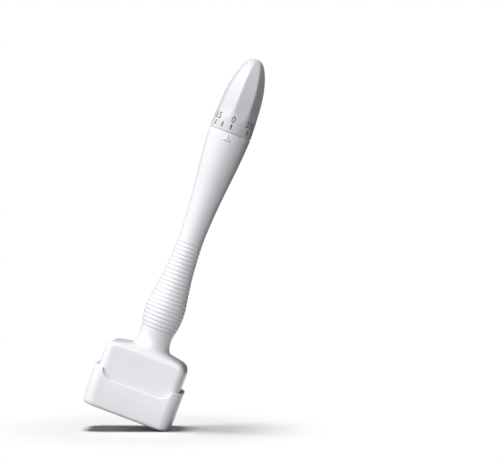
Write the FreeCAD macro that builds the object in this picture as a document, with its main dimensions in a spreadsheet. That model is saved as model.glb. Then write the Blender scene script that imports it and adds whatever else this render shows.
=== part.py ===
"""Derma stamp: an adjustable micro-needle stamp standing in its protective cap.

Row frame, in millimetres: +Z up along the handle, +X to the right of the front face, -Y to the
front.  The origin is the bottom centre of the cap.  Everything is drawn at rest: the head seated in
the cap, the depth knob at 0 and the needle tips flush with the guide plate.
"""
import FreeCAD, Part
import math
import os

import Sketcher

V = FreeCAD.Vector

# Driving sizes.  Each can be set by itself, and RESULTS works out what has to fit with it.
SIZES = [
    # protective cap
    ("cap_height", 17.7), ("cap_wall", 1.55), ("cap_floor", 1.6), ("cap_ledge", 1.75),
    ("cap_bottom_round", 2.0), ("cap_head_gap", 0.25), ("scoop_margin", 4.0), ("scoop_depth", 4.3),
    ("scoop_corner", 4.2), ("grip_rib_width", 1.0), ("grip_rib_gap", 0.08),
    ("grip_rib_spacing", 18.0), ("grip_rib_drop", 0.5), ("overlap", 0.2),
    # needle head
    ("head_width", 36.0), ("head_depth", 21.3), ("head_corner", 3.4), ("head_bottom", 8.5),
    ("head_wall", 1.6), ("cavity_room", 3.0), ("cavity_lap", 0.4), ("shoulder_rise", 3.4),
    ("shoulder_inset", 1.3), ("flare_rise", 3.0), ("flare_reach", 8.2), ("flare_flat", 0.6),
    ("flare_margin", 0.3), ("foot_lap", 1.4),
    # ribs of the grip
    ("groove_rise", 1.0), ("groove_pitch", 1.77), ("groove_count", 23), ("groove_width", 1.3),
    ("groove_depth", 0.25), ("groove_clear", 0.12),
    # rim of the handle and the bores below it
    ("rim_rise", 9.6), ("rim_wall", 1.1), ("seam_gap", 0.35), ("sleeve_length", 13.25),
    ("sleeve_wall", 1.36), ("clip_room", 4.5), ("spring_bore_length", 15.5),
    ("rod_bore_gap", 0.4), ("bush_rise", 3.5), ("bush_length", 6.0), ("boss_play", 2.0),
    # depth knob
    ("knob_step", 0.08), ("knob_crown_rise", 3.55), ("knob_crown_radius", 2.52),
    ("facet_count", 8), ("facet_phase", 14.5), ("facet_ratio", 0.93), ("facet_start", 4.0),
    ("facet_start_out", 0.25), ("facet_top_out", 0.2), ("nut_step", 0.2), ("nut_depth", 13.0),
    ("hollow_gap", 0.9), ("hollow_rise", 5.5), ("notch_count", 14), ("notch_radius", 0.5),
    ("notch_depth", 0.3), ("notch_wall", 1.3),
    # drive nut, its bearing and the parts that keep it
    ("spigot_wall", 1.15), ("running_gap", 0.04), ("spigot_end", 1.7), ("clip_thickness", 0.8),
    ("clip_groove_depth", 0.55), ("clip_play", 0.4), ("clip_gap", 0.1), ("clip_snap", 3.5),
    ("seal_drop", 6.25), ("seal_wire", 0.35), ("seal_gap", 0.02), ("stop_reach", 0.7),
    ("stop_depth", 1.2), ("stop_width", 14.0), ("stop_gap", 0.12), ("stop_play", 1.0),
    ("stop_start", 110.0), ("knob_travel", 308.571),
    # screw thread: one start, whose lead moves the needles 0.25 mm for each mark of the dial
    ("thread_lead", 3.5), ("thread_step", 0.6), ("thread_depth", 0.7), ("thread_gap", 0.15),
    ("thread_root_width", 1.5), ("thread_crest_width", 0.9), ("thread_start", 0.5),
    ("thread_end", 4.2), ("thread_neck", 1.3),
    # push rod
    ("rod_radius", 2.2), ("rod_flat_depth", 0.5), ("rod_flat_run", 4.0), ("rod_gap", 0.05),
    ("rod_key_corner", 0.9), ("seat_drop", 4.5), ("seat_thickness", 0.8), ("seat_lap", 0.25),
    ("seat_play", 0.4), ("seat_groove_depth", 0.35), ("seat_snap", 0.5),
    # return spring and click ball
    ("spring_wire", 0.3), ("spring_gap", 0.65), ("spring_pitch", 2.1), ("ball_radius", 0.6),
    ("ball_gap", 0.05), ("ball_hole_gap", 0.03), ("ball_hole_depth", 6.0),
    ("click_wire", 0.1), ("click_coil_radius", 0.4), ("click_pitch", 0.7),
    # guide plate, needles and their carriage
    ("plate_thickness", 2.0), ("needle_columns", 14), ("needle_rows", 10),
    ("needle_margin_across", 3.4), ("needle_margin_deep", 1.85), ("needle_radius", 0.15),
    ("needle_hole_gap", 0.15), ("needle_point", 1.2), ("block_play", 0.3),
    ("block_thickness", 4.2), ("block_gap", 0.12), ("block_corner", 3.0),
    ("backing_thickness", 2.0), ("backing_inset", 1.2), ("yoke_end", 1.8), ("yoke_depth", 9.0),
    ("yoke_corner", 1.2), ("yoke_thickness", 1.6), ("boss_wall", 1.4), ("boss_rise", 4.0),
    ("socket_floor", 1.4), ("pin_radius", 0.6), ("pin_rise", 2.2), ("pin_inset", 0.15),
    ("screw_clear", 0.8), ("screw_radius", 0.7), ("screw_head_radius", 1.3),
    ("screw_head_height", 0.9), ("screw_end_gap", 0.3), ("screw_slot_width", 0.4),
    ("screw_slot_depth", 0.35),
]

# Control points of the handle's outer line, upwards: a name, a radius and the rise from the last.
HANDLE_POINTS = [
    ("neck", 7.11, 2.2), ("neck_middle", 6.99, 2.4), ("neck_top", 7.09, 2.6),
    ("swell_foot", 8.13, 3.0), ("swell_low", 8.57, 4.4), ("swell_top", 8.54, 4.5),
    ("swell_end", 7.7, 4.5), ("low_grip", 7.0, 5.0), ("middle_grip", 6.15, 6.0),
    ("upper_grip", 5.79, 7.0), ("waist", 5.21, 8.0), ("low_taper", 5.7, 9.0),
    ("taper", 6.47, 10.0), ("barrel", 7.59, 10.0), ("collar", 8.69, 10.0),
]

# The same for the knob's corner line, whose radii are drawn in from the radius of its rim.
KNOB_POINTS = [
    ("knob_base", 0.09, 7.07), ("knob_body", 0.17, 8.03), ("knob_cheek", 1.9, 9.0),
    ("knob_brow", 4.11, 5.75),
]


def heights_up(start, points):
    """Formulas for the heights of control points, each standing on the one below."""
    formulas, below = [], start
    for name, _, _ in points:
        formulas.append((f"{name}_height", f"{below} + {name}_rise"))
        below = f"{name}_height"
    return formulas


# Sizes that follow from others, in the order in which they are worked out.
RESULTS = [
    # the carriage stack, from the foot of the head up
    ("needle_stroke", "thread_lead * knob_travel / 360"),
    ("block_bottom", "head_bottom + plate_thickness + needle_stroke + block_play"),
    ("block_top", "block_bottom + block_thickness"),
    ("backing_top", "block_top + backing_thickness"),
    ("yoke_top", "backing_top + yoke_thickness"),
    ("yoke_boss_top", "yoke_top + boss_rise"),
    ("rod_bottom", "backing_top + socket_floor"),
    ("pin_height", "yoke_top + pin_rise"),
    ("screw_end", "block_top + screw_end_gap"),
    # the head round it
    ("cavity_top", "yoke_top + cavity_room"),
    ("head_side_top", "cavity_top + cavity_lap"),
    ("head_shoulder", "head_side_top + shoulder_rise"),
    ("head_neck_top", "head_shoulder + flare_rise"),
    ("flare_radius", "min(flare_reach; head_depth / 2 - shoulder_inset - flare_margin)"),
    ("flare_corner", "flare_radius - flare_flat"),
    ("handle_foot", "head_neck_top - foot_lap"),
    ("needle_pitch_across",
     "(head_width - 2 * (head_wall + needle_margin_across)) / (needle_columns - 1)"),
    ("needle_pitch_deep",
     "(head_depth - 2 * (head_wall + needle_margin_deep)) / (needle_rows - 1)"),
    # the cap round the head
    ("cap_half_width", "head_width / 2 + cap_head_gap + cap_wall"),
    ("cap_half_depth", "head_depth / 2 + cap_head_gap + cap_wall"),
    ("cap_corner", "head_corner + cap_head_gap + cap_wall"),
    ("scoop_half", "cap_half_width - scoop_margin"),
    # the heights of both outer lines
    *heights_up("head_neck_top", HANDLE_POINTS),
    ("groove_low", "neck_top_height + groove_rise"),
    ("seam_height", "collar_height + rim_rise"),
    ("rim_height", "seam_height - seam_gap"),
    *heights_up("seam_height", KNOB_POINTS),
    ("knob_tip", "knob_brow_height + knob_crown_rise"),
    # the radii of what turns in what, outwards from the push rod
    ("rod_flat", "rod_radius - rod_flat_depth"),
    ("rod_bore_radius", "rod_radius + rod_bore_gap"),
    ("seat_groove_radius", "rod_radius - seat_groove_depth"),
    ("seat_mouth", "2 * seat_groove_radius - seat_snap"),
    ("spring_coil_radius", "rod_radius + spring_gap + spring_wire"),
    ("seat_radius", "spring_coil_radius + spring_wire + seat_lap"),
    ("spring_bore_radius", "seat_radius + seat_play"),
    ("yoke_boss_radius", "rod_radius + boss_wall"),
    ("bush_radius", "yoke_boss_radius + boss_play"),
    ("screw_spacing", "2 * (yoke_boss_radius + screw_head_radius + screw_clear)"),
    ("yoke_width", "screw_spacing + 2 * yoke_end"),
    ("thread_core_radius", "rod_radius + thread_step"),
    ("thread_crest_radius", "thread_core_radius + thread_depth"),
    ("spigot_radius", "thread_crest_radius + thread_gap + spigot_wall"),
    ("clip_groove_radius", "spigot_radius - clip_groove_depth"),
    ("clip_mouth", "2 * clip_groove_radius - clip_snap"),
    ("stop_outer_radius", "spigot_radius + stop_reach"),
    ("sleeve_bore", "spigot_radius + running_gap"),
    ("sleeve_radius", "sleeve_bore + sleeve_wall"),
    ("clip_outer_radius", "sleeve_radius - clip_play"),
    ("nut_radius", "sleeve_radius - nut_step"),
    ("knob_hollow_radius", "thread_crest_radius + hollow_gap"),
    ("notch_circle", "sleeve_radius + notch_wall"),
    ("rim_radius", "notch_circle + ball_radius + ball_hole_gap + rim_wall"),
    ("knob_radius", "rim_radius - knob_step"),
    *[(f"{name}_radius", f"knob_radius - {name}_in") for name, _, _ in KNOB_POINTS],
    # the heights of the works, down from the rim
    ("nut_top", "seam_height + nut_depth"),
    ("knob_hollow_depth", "nut_depth + hollow_rise"),
    ("seal_height", "rim_height - seal_drop"),
    ("sleeve_bottom", "rim_height - sleeve_length"),
    ("clip_top", "sleeve_bottom - clip_gap"),
    ("spigot_bottom", "clip_top - clip_thickness - spigot_end"),
    ("sleeve_bore_floor", "sleeve_bottom - clip_room"),
    ("spring_shelf", "sleeve_bore_floor - spring_bore_length"),
    ("thread_bottom", "spigot_bottom + thread_start"),
    ("thread_length", "nut_top - thread_end - thread_bottom"),
    ("seat_height", "thread_bottom - seat_drop"),
    ("bush_top", "swell_top_height + bush_rise"),
    ("rod_flat_top", "bush_top + rod_flat_run"),
]


def driving_sizes():
    """Every size that can be set, with those of the two outer lines."""
    rows = list(SIZES)
    for name, radius, rise in HANDLE_POINTS:
        rows += [(f"{name}_radius", radius), (f"{name}_rise", rise)]
    for name, inset, rise in KNOB_POINTS:
        rows += [(f"{name}_in", inset), (f"{name}_rise", rise)]
    return rows


def make_sheet(doc):
    """Put every size in one spreadsheet: a word and a plain number, or a formula, to each row."""
    sheet = doc.addObject("Spreadsheet::Sheet", "Sizes")
    rows = [(alias, str(number)) for alias, number in driving_sizes()]
    rows += [(alias, f"={formula}") for alias, formula in RESULTS]
    for row, (alias, content) in enumerate(rows, start=1):
        sheet.set(f"A{row}", alias.replace("_", " "))
        sheet.set(f"B{row}", content)
        sheet.setAlias(f"B{row}", alias)
    doc.recompute()
    return sheet


NAMES = {alias for alias, _ in driving_sizes() + RESULTS}
doc = FreeCAD.newDocument("derma_stamp")
sheet = make_sheet(doc)


def full(expression):
    """Write the sheet's name before every size that an expression names."""
    out, word = "", ""
    for letter in expression + " ":
        if letter.isalnum() or letter == "_":
            word += letter
            continue
        out += f"Sizes.{word}" if word in NAMES else word
        word = ""
        out += letter
    return out.strip()


def value(expression):
    """The number that an expression of sizes gives."""
    return float(sheet.evalExpression(full(expression)))


def bind(thing, name, expression):
    """Tie one property of a document object to the sheet."""
    thing.setExpression(name, full(expression))


def new_body(label):
    """A PartDesign body whose label is the name of its node."""
    body = doc.addObject("PartDesign::Body", label)
    body.Label = label
    return body


def origin_part(body, role):
    """The body's own plane or axis with that role."""
    return next(part for part in body.Origin.OriginFeatures if part.Role == role)


def new_sketch(body, name, role="XY_Plane", offset=None, shift=None, turn=None):
    """A sketch on one of the body's origin planes, raised, shifted or turned by expressions."""
    sketch = body.newObject("Sketcher::SketchObject", f"{body.Name}_{name}")
    sketch.AttachmentSupport = [(origin_part(body, role), "")]
    sketch.MapMode = "FlatFace"
    if turn is not None:
        sketch.AttachmentOffset = FreeCAD.Placement(V(), FreeCAD.Rotation(V(0, 1, 0), value(turn)))
        bind(sketch, "AttachmentOffset.Rotation.Angle", turn)
    if shift is not None:
        bind(sketch, "AttachmentOffset.Base.x", shift)
    if offset is not None:
        bind(sketch, "AttachmentOffset.Base.z", offset)
    doc.recompute()
    return sketch


def fix_point(sketch, geometry, position, across, up):
    """Hold one point of a sketch at two expressions, measured from the sketch's origin."""
    for kind, axis, expression in (("DistanceX", -2, across), ("DistanceY", -1, up)):
        number = value(expression)
        if abs(number) < 1e-9:
            sketch.addConstraint(Sketcher.Constraint("PointOnObject", geometry, position, axis))
            continue
        index = sketch.addConstraint(Sketcher.Constraint(kind, -1, 1, geometry, position, number))
        sketch.setExpression(f"Constraints[{index}]", full(expression))


def add_polygon(sketch, corners):
    """Add a closed outline of straight lines through corners given as pairs of expressions."""
    points = [V(value(across), value(up), 0) for across, up in corners]
    first = sketch.GeometryCount
    last = len(points) - 1
    for index, point in enumerate(points):
        sketch.addGeometry(Part.LineSegment(point, points[(index + 1) % len(points)]), False)
    for index in range(len(points)):
        following = first + (0 if index == last else index + 1)
        sketch.addConstraint(Sketcher.Constraint("Coincident", first + index, 2, following, 1))
    for index, (across, up) in enumerate(corners):
        fix_point(sketch, first + index, 1, across, up)


def add_circle(sketch, radius, across="0", up="0"):
    """Add a circle given by three expressions."""
    circle = Part.Circle(V(value(across), value(up), 0), V(0, 0, 1), value(radius))
    geometry = sketch.addGeometry(circle, False)
    fix_point(sketch, geometry, 3, across, up)
    index = sketch.addConstraint(Sketcher.Constraint("Radius", geometry, value(radius)))
    sketch.setExpression(f"Constraints[{index}]", full(radius))


def add_rounded_rectangle(sketch, half_across, half_up, corner):
    """Add a rectangle about the origin with four equal round corners."""
    wide, high, round_ = value(half_across), value(half_up), value(corner)
    corners = [(1, -1, 270), (1, 1, 0), (-1, 1, 90), (-1, -1, 180)]
    arcs = []
    for side, level, start in corners:
        centre = V(side * (wide - round_), level * (high - round_), 0)
        circle = Part.Circle(centre, V(0, 0, 1), round_)
        sweep = (math.radians(start), math.radians(start + 90))
        arcs.append(sketch.addGeometry(Part.ArcOfCircle(circle, *sweep), False))
    lines = []
    for index, arc in enumerate(arcs):
        end = sketch.Geometry[arc].EndPoint
        start = sketch.Geometry[arcs[(index + 1) % 4]].StartPoint
        lines.append(sketch.addGeometry(Part.LineSegment(end, start), False))
    for index in range(4):
        following = arcs[(index + 1) % 4]
        sketch.addConstraint(Sketcher.Constraint("Tangent", arcs[index], 2, lines[index], 1))
        sketch.addConstraint(Sketcher.Constraint("Tangent", lines[index], 2, following, 1))
    for index, kind in enumerate(("Vertical", "Horizontal", "Vertical", "Horizontal")):
        sketch.addConstraint(Sketcher.Constraint(kind, lines[index]))
    for arc in arcs[1:]:
        sketch.addConstraint(Sketcher.Constraint("Equal", arcs[0], arc))
    index = sketch.addConstraint(Sketcher.Constraint("Radius", arcs[0], round_))
    sketch.setExpression(f"Constraints[{index}]", full(corner))
    places = [
        ("DistanceX", lines[0], half_across), ("DistanceY", lines[1], half_up),
        ("DistanceX", lines[2], f"-({half_across})"), ("DistanceY", lines[3], f"-({half_up})"),
    ]
    for kind, line, expression in places:
        index = sketch.addConstraint(Sketcher.Constraint(kind, -1, 1, line, 1, value(expression)))
        sketch.setExpression(f"Constraints[{index}]", full(expression))


def add_spline(sketch, poles, closing):
    """Add a smooth line on its control points, then straight lines back to its start."""
    points = [V(value(across), value(up), 0) for across, up in poles]
    curve = Part.BSplineCurve()
    curve.buildFromPoles(points, False, 3)
    spline = sketch.addGeometry(curve, False)
    sketch.exposeInternalGeometry(spline)
    for index, (across, up) in enumerate(poles):
        fix_point(sketch, spline + 1 + index, 3, across, up)
    route = [points[-1]] + [V(value(across), value(up), 0) for across, up in closing] + [points[0]]
    before, before_end = spline, 2
    for index, (start, end) in enumerate(zip(route, route[1:])):
        line = sketch.addGeometry(Part.LineSegment(start, end), False)
        sketch.addConstraint(Sketcher.Constraint("Coincident", before, before_end, line, 1))
        if index:
            fix_point(sketch, line, 1, *closing[index - 1])
        before, before_end = line, 2
    sketch.addConstraint(Sketcher.Constraint("Coincident", before, before_end, spline, 1))


def pad(body, sketch, length, midplane=False):
    """Raise a sketch into a solid."""
    feature = body.newObject("PartDesign::Pad", f"{sketch.Name}_pad")
    feature.Profile = sketch
    feature.Midplane = midplane
    bind(feature, "Length", length)
    doc.recompute()
    return feature


def cut(body, kind, sketch, settings):
    """Take a pocket or groove out of a body, and make sure that it removed something."""
    before = body.Shape.Volume
    feature = body.newObject(f"PartDesign::{kind}", f"{sketch.Name}_cut")
    feature.Profile = sketch
    for name, setting in settings.items():
        if isinstance(setting, str):
            bind(feature, name, setting)
        else:
            setattr(feature, name, setting)
    doc.recompute()
    if body.Shape.Volume > before - 1e-6:
        raise RuntimeError(f"{feature.Name} removes nothing from {body.Label}")
    return feature


def pocket(body, sketch, length, up=False, midplane=False):
    """Cut a sketch straight through, downwards unless up is set."""
    return cut(body, "Pocket", sketch, {"Reversed": up, "Midplane": midplane, "Length": length})


def groove(body, sketch, angle="360"):
    """Cut a sketch round the Z axis."""
    axis = (origin_part(body, "Z_Axis"), [""])
    return cut(body, "Groove", sketch, {"ReferenceAxis": axis, "Angle": angle})


def revolve(body, sketch, angle="360", around_sketch=False):
    """Turn a sketch round the Z axis, or round its own upright axis."""
    feature = body.newObject("PartDesign::Revolution", f"{sketch.Name}_turn")
    feature.Profile = sketch
    own_axis = (sketch, ["V_Axis"])
    feature.ReferenceAxis = own_axis if around_sketch else (origin_part(body, "Z_Axis"), [""])
    bind(feature, "Angle", angle)
    doc.recompute()
    return feature


def helix(body, kind, sketch, pitch, height):
    """Wind a sketch up its own upright axis as a right-hand thread or coil."""
    feature = body.newObject(f"PartDesign::{kind}", f"{sketch.Name}_helix")
    feature.Profile = sketch
    feature.ReferenceAxis = (sketch, ["V_Axis"])
    feature.Mode = "pitch-height-angle"
    bind(feature, "Pitch", pitch)
    bind(feature, "Height", height)
    doc.recompute()
    return feature


def ring_pattern(body, feature, count):
    """Repeat a feature evenly round the Z axis."""
    pattern = body.newObject("PartDesign::PolarPattern", f"{feature.Name}_ring")
    pattern.Originals = [feature]
    pattern.Axis = (origin_part(body, "Z_Axis"), [""])
    pattern.Angle = 360
    bind(pattern, "Occurrences", count)
    body.Tip = pattern
    doc.recompute()
    return pattern


def fillet(body, choose, radius):
    """Round the edges of a body that a test picks out."""
    tip = body.Tip
    names = [f"Edge{i}" for i, edge in enumerate(tip.Shape.Edges, start=1) if choose(edge)]
    feature = body.newObject("PartDesign::Fillet", f"{tip.Name}_round")
    feature.Base = (tip, names)
    bind(feature, "Radius", radius)
    doc.recompute()
    return feature


def level_edge(height):
    """A test for edges that lie wholly at one height."""
    def test(edge):
        box = edge.BoundBox
        return abs(box.ZMin - height) < 1e-4 and abs(box.ZMax - height) < 1e-4
    return test


def turned(label, corners):
    """A body turned about the Z axis from one straight-sided outline."""
    body = new_body(label)
    sketch = new_sketch(body, "outline", "XZ_Plane")
    add_polygon(sketch, corners)
    revolve(body, sketch)
    return body


def slab(label, half_across, half_deep, corner, bottom, thickness):
    """A flat body with round corners, standing on the height called bottom."""
    body = new_body(label)
    sketch = new_sketch(body, "outline", offset=bottom)
    add_rounded_rectangle(sketch, half_across, half_deep, corner)
    pad(body, sketch, thickness)
    return body


def make_cap():
    """The protective cap: a box with a ledge for the head and a scoop for the thumb each side."""
    body = slab(
        "protective_cap", "cap_half_width", "cap_half_depth", "cap_corner", "0", "cap_height"
    )
    fillet(body, level_edge(0.0), "cap_bottom_round")
    half_across, half_deep = "head_width / 2 + cap_head_gap", "head_depth / 2 + cap_head_gap"
    seat = new_sketch(body, "seat", offset="cap_height")
    add_rounded_rectangle(seat, half_across, half_deep, "head_corner + cap_head_gap")
    pocket(body, seat, "cap_height - head_bottom")
    well = new_sketch(body, "well", offset="head_bottom")
    well_corner = "head_corner + cap_head_gap - cap_ledge"
    add_rounded_rectangle(
        well, f"{half_across} - cap_ledge", f"{half_deep} - cap_ledge", well_corner
    )
    pocket(body, well, "head_bottom - cap_floor")
    cut_scoops(body)
    ribs = new_sketch(body, "grip_ribs", offset="head_bottom - overlap")
    for side in ("-1", "1"):
        for face in ("-1", "1"):
            inner = f"{face} * (head_depth / 2 + grip_rib_gap)"
            outer = f"{face} * ({half_deep} + overlap)"
            left = f"({side} * grip_rib_spacing - grip_rib_width) / 2"
            right = f"({side} * grip_rib_spacing + grip_rib_width) / 2"
            add_polygon(ribs, [(left, inner), (right, inner), (right, outer), (left, outer)])
    pad(body, ribs, "cap_height - scoop_depth - grip_rib_drop - head_bottom + overlap")
    return body


def cut_scoops(body):
    """Cut the thumb scoops out of the front and back walls of the cap."""
    sketch = new_sketch(body, "scoop", "XZ_Plane")
    half, floor, over = "scoop_half", "cap_height - scoop_depth", "cap_height + scoop_depth"
    corners = [(f"-({half})", floor), (half, floor), (half, over), (f"-({half})", over)]
    add_polygon(sketch, corners)
    pocket(body, sketch, "cap_half_depth * 4", midplane=True)
    at_floor = level_edge(value(floor))

    def scoop_corner(edge):
        box = edge.BoundBox
        return at_floor(edge) and box.XLength < 1e-4 and abs(abs(box.XMin) - value(half)) < 1e-4

    fillet(body, scoop_corner, "scoop_corner")


HANDLE_LINE = [
    ("flare_radius", "head_neck_top"),
    *[(f"{name}_radius", f"{name}_height") for name, _, _ in HANDLE_POINTS],
    ("rim_radius", "rim_height"),
]


def radius_at(line, height):
    """The radius of a smooth outer line at a height."""
    curve = Part.BSplineCurve()
    curve.buildFromPoles([V(value(across), value(up), 0) for across, up in line], False, 3)
    low, high = curve.FirstParameter, curve.LastParameter
    while high - low > 1e-9:
        middle = (low + high) / 2
        if curve.value(middle).y < height:
            low = middle
        else:
            high = middle
    return curve.value(low).x


def make_handle():
    """The handle: turned body, ribbed grip and hollow needle head in one moulding."""
    body = new_body("handle_shell")
    line = new_sketch(body, "line", "XZ_Plane")
    closing = [("0", "rim_height"), ("0", "handle_foot"), ("flare_radius", "handle_foot")]
    add_spline(line, HANDLE_LINE, closing)
    revolve(body, line)
    add_head(body)
    grooves = new_sketch(body, "grooves", "XZ_Plane")
    for index in range(int(value("groove_count"))):
        height = f"groove_low + groove_pitch * {index}"
        surface = f"{radius_at(HANDLE_LINE, value(height)):.3f}"
        low, high = f"{height} - groove_width / 2", f"{height} + groove_width / 2"
        floor, mouth = f"{surface} - groove_depth", f"{surface} + groove_clear"
        add_polygon(grooves, [(floor, height), (mouth, low), (mouth, high)])
    groove(body, grooves)
    bores = [
        ("rod_bore", "rod_bore_radius", "rim_height", "rim_height - cavity_top"),
        ("spring_bore", "spring_bore_radius", "rim_height", "rim_height - spring_shelf"),
        ("sleeve_seat", "sleeve_radius", "rim_height", "rim_height - sleeve_bore_floor"),
        ("bush_bore", "bush_radius", "bush_top", "bush_top - cavity_top + overlap"),
    ]
    for name, radius, top, depth in bores:
        sketch = new_sketch(body, name, offset=top)
        add_circle(sketch, radius)
        pocket(body, sketch, depth)
    cavity = new_sketch(body, "cavity", offset="head_bottom")
    across, deep = "head_width / 2 - head_wall", "head_depth / 2 - head_wall"
    add_rounded_rectangle(cavity, across, deep, "head_corner - head_wall")
    pocket(body, cavity, "cavity_top - head_bottom", up=True)
    hole = new_sketch(body, "click_hole", offset="rim_height")
    add_circle(hole, "ball_radius + ball_hole_gap", up="notch_circle")
    pocket(body, hole, "ball_hole_depth")
    return body


def add_head(body):
    """Add the rectangular head and the shoulders that run up from it to the neck."""
    half_across, half_deep = "head_width / 2", "head_depth / 2"
    head = new_sketch(body, "head", offset="head_bottom")
    add_rounded_rectangle(head, half_across, half_deep, "head_corner")
    pad(body, head, "head_side_top - head_bottom")
    levels = [
        (half_across, half_deep, "head_corner", "head_side_top"),
        (f"{half_across} - shoulder_inset", f"{half_deep} - shoulder_inset", "head_corner",
         "head_shoulder"),
        ("flare_radius", "flare_radius", "flare_corner", "head_neck_top"),
    ]
    rings = []
    for index, (across, deep, corner, height) in enumerate(levels):
        ring = new_sketch(body, f"shoulder_{index}", offset=height)
        add_rounded_rectangle(ring, across, deep, corner)
        rings.append(ring)
    for lower, upper in zip(rings, rings[1:]):
        loft = body.newObject("PartDesign::AdditiveLoft", f"{lower.Name}_loft")
        loft.Profile = lower
        loft.Sections = [upper]
        loft.Ruled = True
        doc.recompute()


def make_bearing_sleeve():
    """The sleeve that the knob turns in, with a recess that ends at the stop."""
    body = turned("bearing_sleeve", [
        ("sleeve_bore", "sleeve_bottom"), ("sleeve_radius", "sleeve_bottom"),
        ("sleeve_radius", "rim_height"), ("sleeve_bore", "rim_height"),
    ])
    recess = new_sketch(body, "recess", "XZ_Plane", turn="stop_start - stop_play")
    inner, outer = "sleeve_bore - overlap", "stop_outer_radius + stop_gap"
    low, high = "rim_height - stop_depth - stop_gap", "rim_height + overlap"
    add_polygon(recess, [(inner, low), (outer, low), (outer, high), (inner, high)])
    groove(body, recess, "knob_travel + stop_width + 2 * stop_play")
    return body


def make_guide_bush():
    """The keyed bush that guides the flats of the push rod, so that it cannot turn."""
    body = new_body("guide_bush")
    disc = new_sketch(body, "disc", offset="bush_top - bush_length")
    add_circle(disc, "bush_radius")
    pad(body, disc, "bush_length")
    key = new_sketch(body, "key", offset="bush_top")
    add_rounded_rectangle(key, "rod_radius + rod_gap", "rod_flat + rod_gap", "rod_key_corner")
    pocket(body, key, "bush_length")
    return body


def coil(label, wire, radius, bottom, height, pitch, back=None):
    """A round-wire spring on a vertical axis, moved back from the middle if it says so."""
    body = new_body(label)
    sketch = new_sketch(body, "wire", "XZ_Plane", offset=None if back is None else f"-({back})")
    add_circle(sketch, wire, radius, bottom)
    helix(body, "AdditiveHelix", sketch, pitch, height)
    return body


def make_return_spring():
    """The spring that lifts the push rod: it stands on the shelf and carries the seat clip."""
    height = "seat_height - spring_shelf - 2 * spring_wire"
    return coil("return_spring", "spring_wire", "spring_coil_radius",
                "spring_shelf + spring_wire", height, "spring_pitch")


def make_click_spring():
    """The small spring under the click ball."""
    bottom = "rim_height - ball_hole_depth + click_wire"
    top = "seam_height - ball_gap - 2 * ball_radius - click_wire"
    return coil("click_spring", "click_wire", "click_coil_radius", bottom,
                f"{top} - ({bottom})", "click_pitch", "notch_circle")


def make_click_ball():
    """The steel ball that clicks into the notches under the knob."""
    ball = doc.addObject("Part::Sphere", "click_ball")
    bind(ball, "Radius", "ball_radius")
    bind(ball, "Placement.Base.y", "notch_circle")
    bind(ball, "Placement.Base.z", "seam_height - ball_gap - ball_radius")
    doc.recompute()
    return ball


def knob_line(ratio, start, end):
    """The knob's outer line drawn in by a ratio, between a start and an end of its own."""
    middle = [(f"{name}_radius * {ratio}", f"{name}_height") for name, _, _ in KNOB_POINTS]
    return start + middle + end


def make_knob():
    """The depth knob: a bullet-shaped cover with eight facets that fade out above its rim."""
    body = new_body("knob_shell")
    line = new_sketch(body, "line", "XZ_Plane")
    crown = [("knob_crown_radius", "knob_tip"), ("0", "knob_tip")]
    poles = knob_line("1", [("knob_radius", "seam_height")], crown)
    add_spline(line, poles, [("0", "seam_height")])
    revolve(body, line)
    facet = new_sketch(body, "facet", "XZ_Plane", turn="facet_phase")
    low, high = "seam_height + facet_start", "knob_tip + facet_top_out"
    start = [("knob_radius + facet_start_out", low)]
    poles = knob_line("facet_ratio", start, [("knob_crown_radius", high), ("0", high)])
    outside = "knob_radius * 1.5"
    add_spline(facet, poles, [(outside, high), (outside, low)])
    side = pocket(body, facet, "knob_radius * 4", midplane=True)
    ring_pattern(body, side, "facet_count")
    hollows = [("nut_seat", "nut_radius", "nut_depth"),
               ("hollow", "knob_hollow_radius", "knob_hollow_depth")]
    for name, radius, depth in hollows:
        sketch = new_sketch(body, name, offset="seam_height")
        add_circle(sketch, radius)
        pocket(body, sketch, depth, up=True)
    notch = new_sketch(body, "notch", offset="seam_height")
    add_circle(notch, "notch_radius", up="notch_circle")
    ring_pattern(body, pocket(body, notch, "notch_depth", up=True), "notch_count")
    return body


def make_drive_nut():
    """The nut pressed into the knob, with the spigot that turns in the sleeve."""
    bore = "thread_core_radius + thread_gap"
    seal_floor = "sleeve_bore - seal_gap - 2 * seal_wire"
    corners = [(bore, "spigot_bottom"), ("spigot_radius", "spigot_bottom")]
    necks = [("clip_top - clip_thickness", "clip_top", "clip_groove_radius"),
             ("seal_height - seal_wire", "seal_height + seal_wire", seal_floor)]
    for low, high, radius in necks:
        corners += [("spigot_radius", low), (radius, low), (radius, high), ("spigot_radius", high)]
    corners += [("spigot_radius", "seam_height"), ("nut_radius", "seam_height"),
                ("nut_radius", "nut_top"), (bore, "nut_top")]
    body = turned("drive_nut", corners)
    lug = new_sketch(body, "stop_lug", "XZ_Plane", turn="stop_start")
    inner, low, high = "spigot_radius - overlap", "rim_height - stop_depth", "seam_height + overlap"
    outline = [(inner, low), ("stop_outer_radius", low), ("stop_outer_radius", high), (inner, high)]
    add_polygon(lug, outline)
    revolve(body, lug, "stop_width")
    thread = new_sketch(body, "thread", "XZ_Plane")
    add_thread(thread, "thread_bottom - thread_lead", "thread_gap")
    height = "nut_top - thread_bottom + 2 * thread_lead"
    helix(body, "SubtractiveHelix", thread, "thread_lead", height)
    return body


def add_thread(sketch, middle, gap):
    """Add one thread section, grown all round by a gap."""
    root, crest = "thread_core_radius - overlap", f"thread_crest_radius + {gap}"
    half_root, half_crest = f"(thread_root_width / 2 + {gap})", f"(thread_crest_width / 2 + {gap})"
    add_polygon(sketch, [
        (root, f"{middle} - {half_root}"), (crest, f"{middle} - {half_crest}"),
        (crest, f"{middle} + {half_crest}"), (root, f"{middle} + {half_root}"),
    ])


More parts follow.
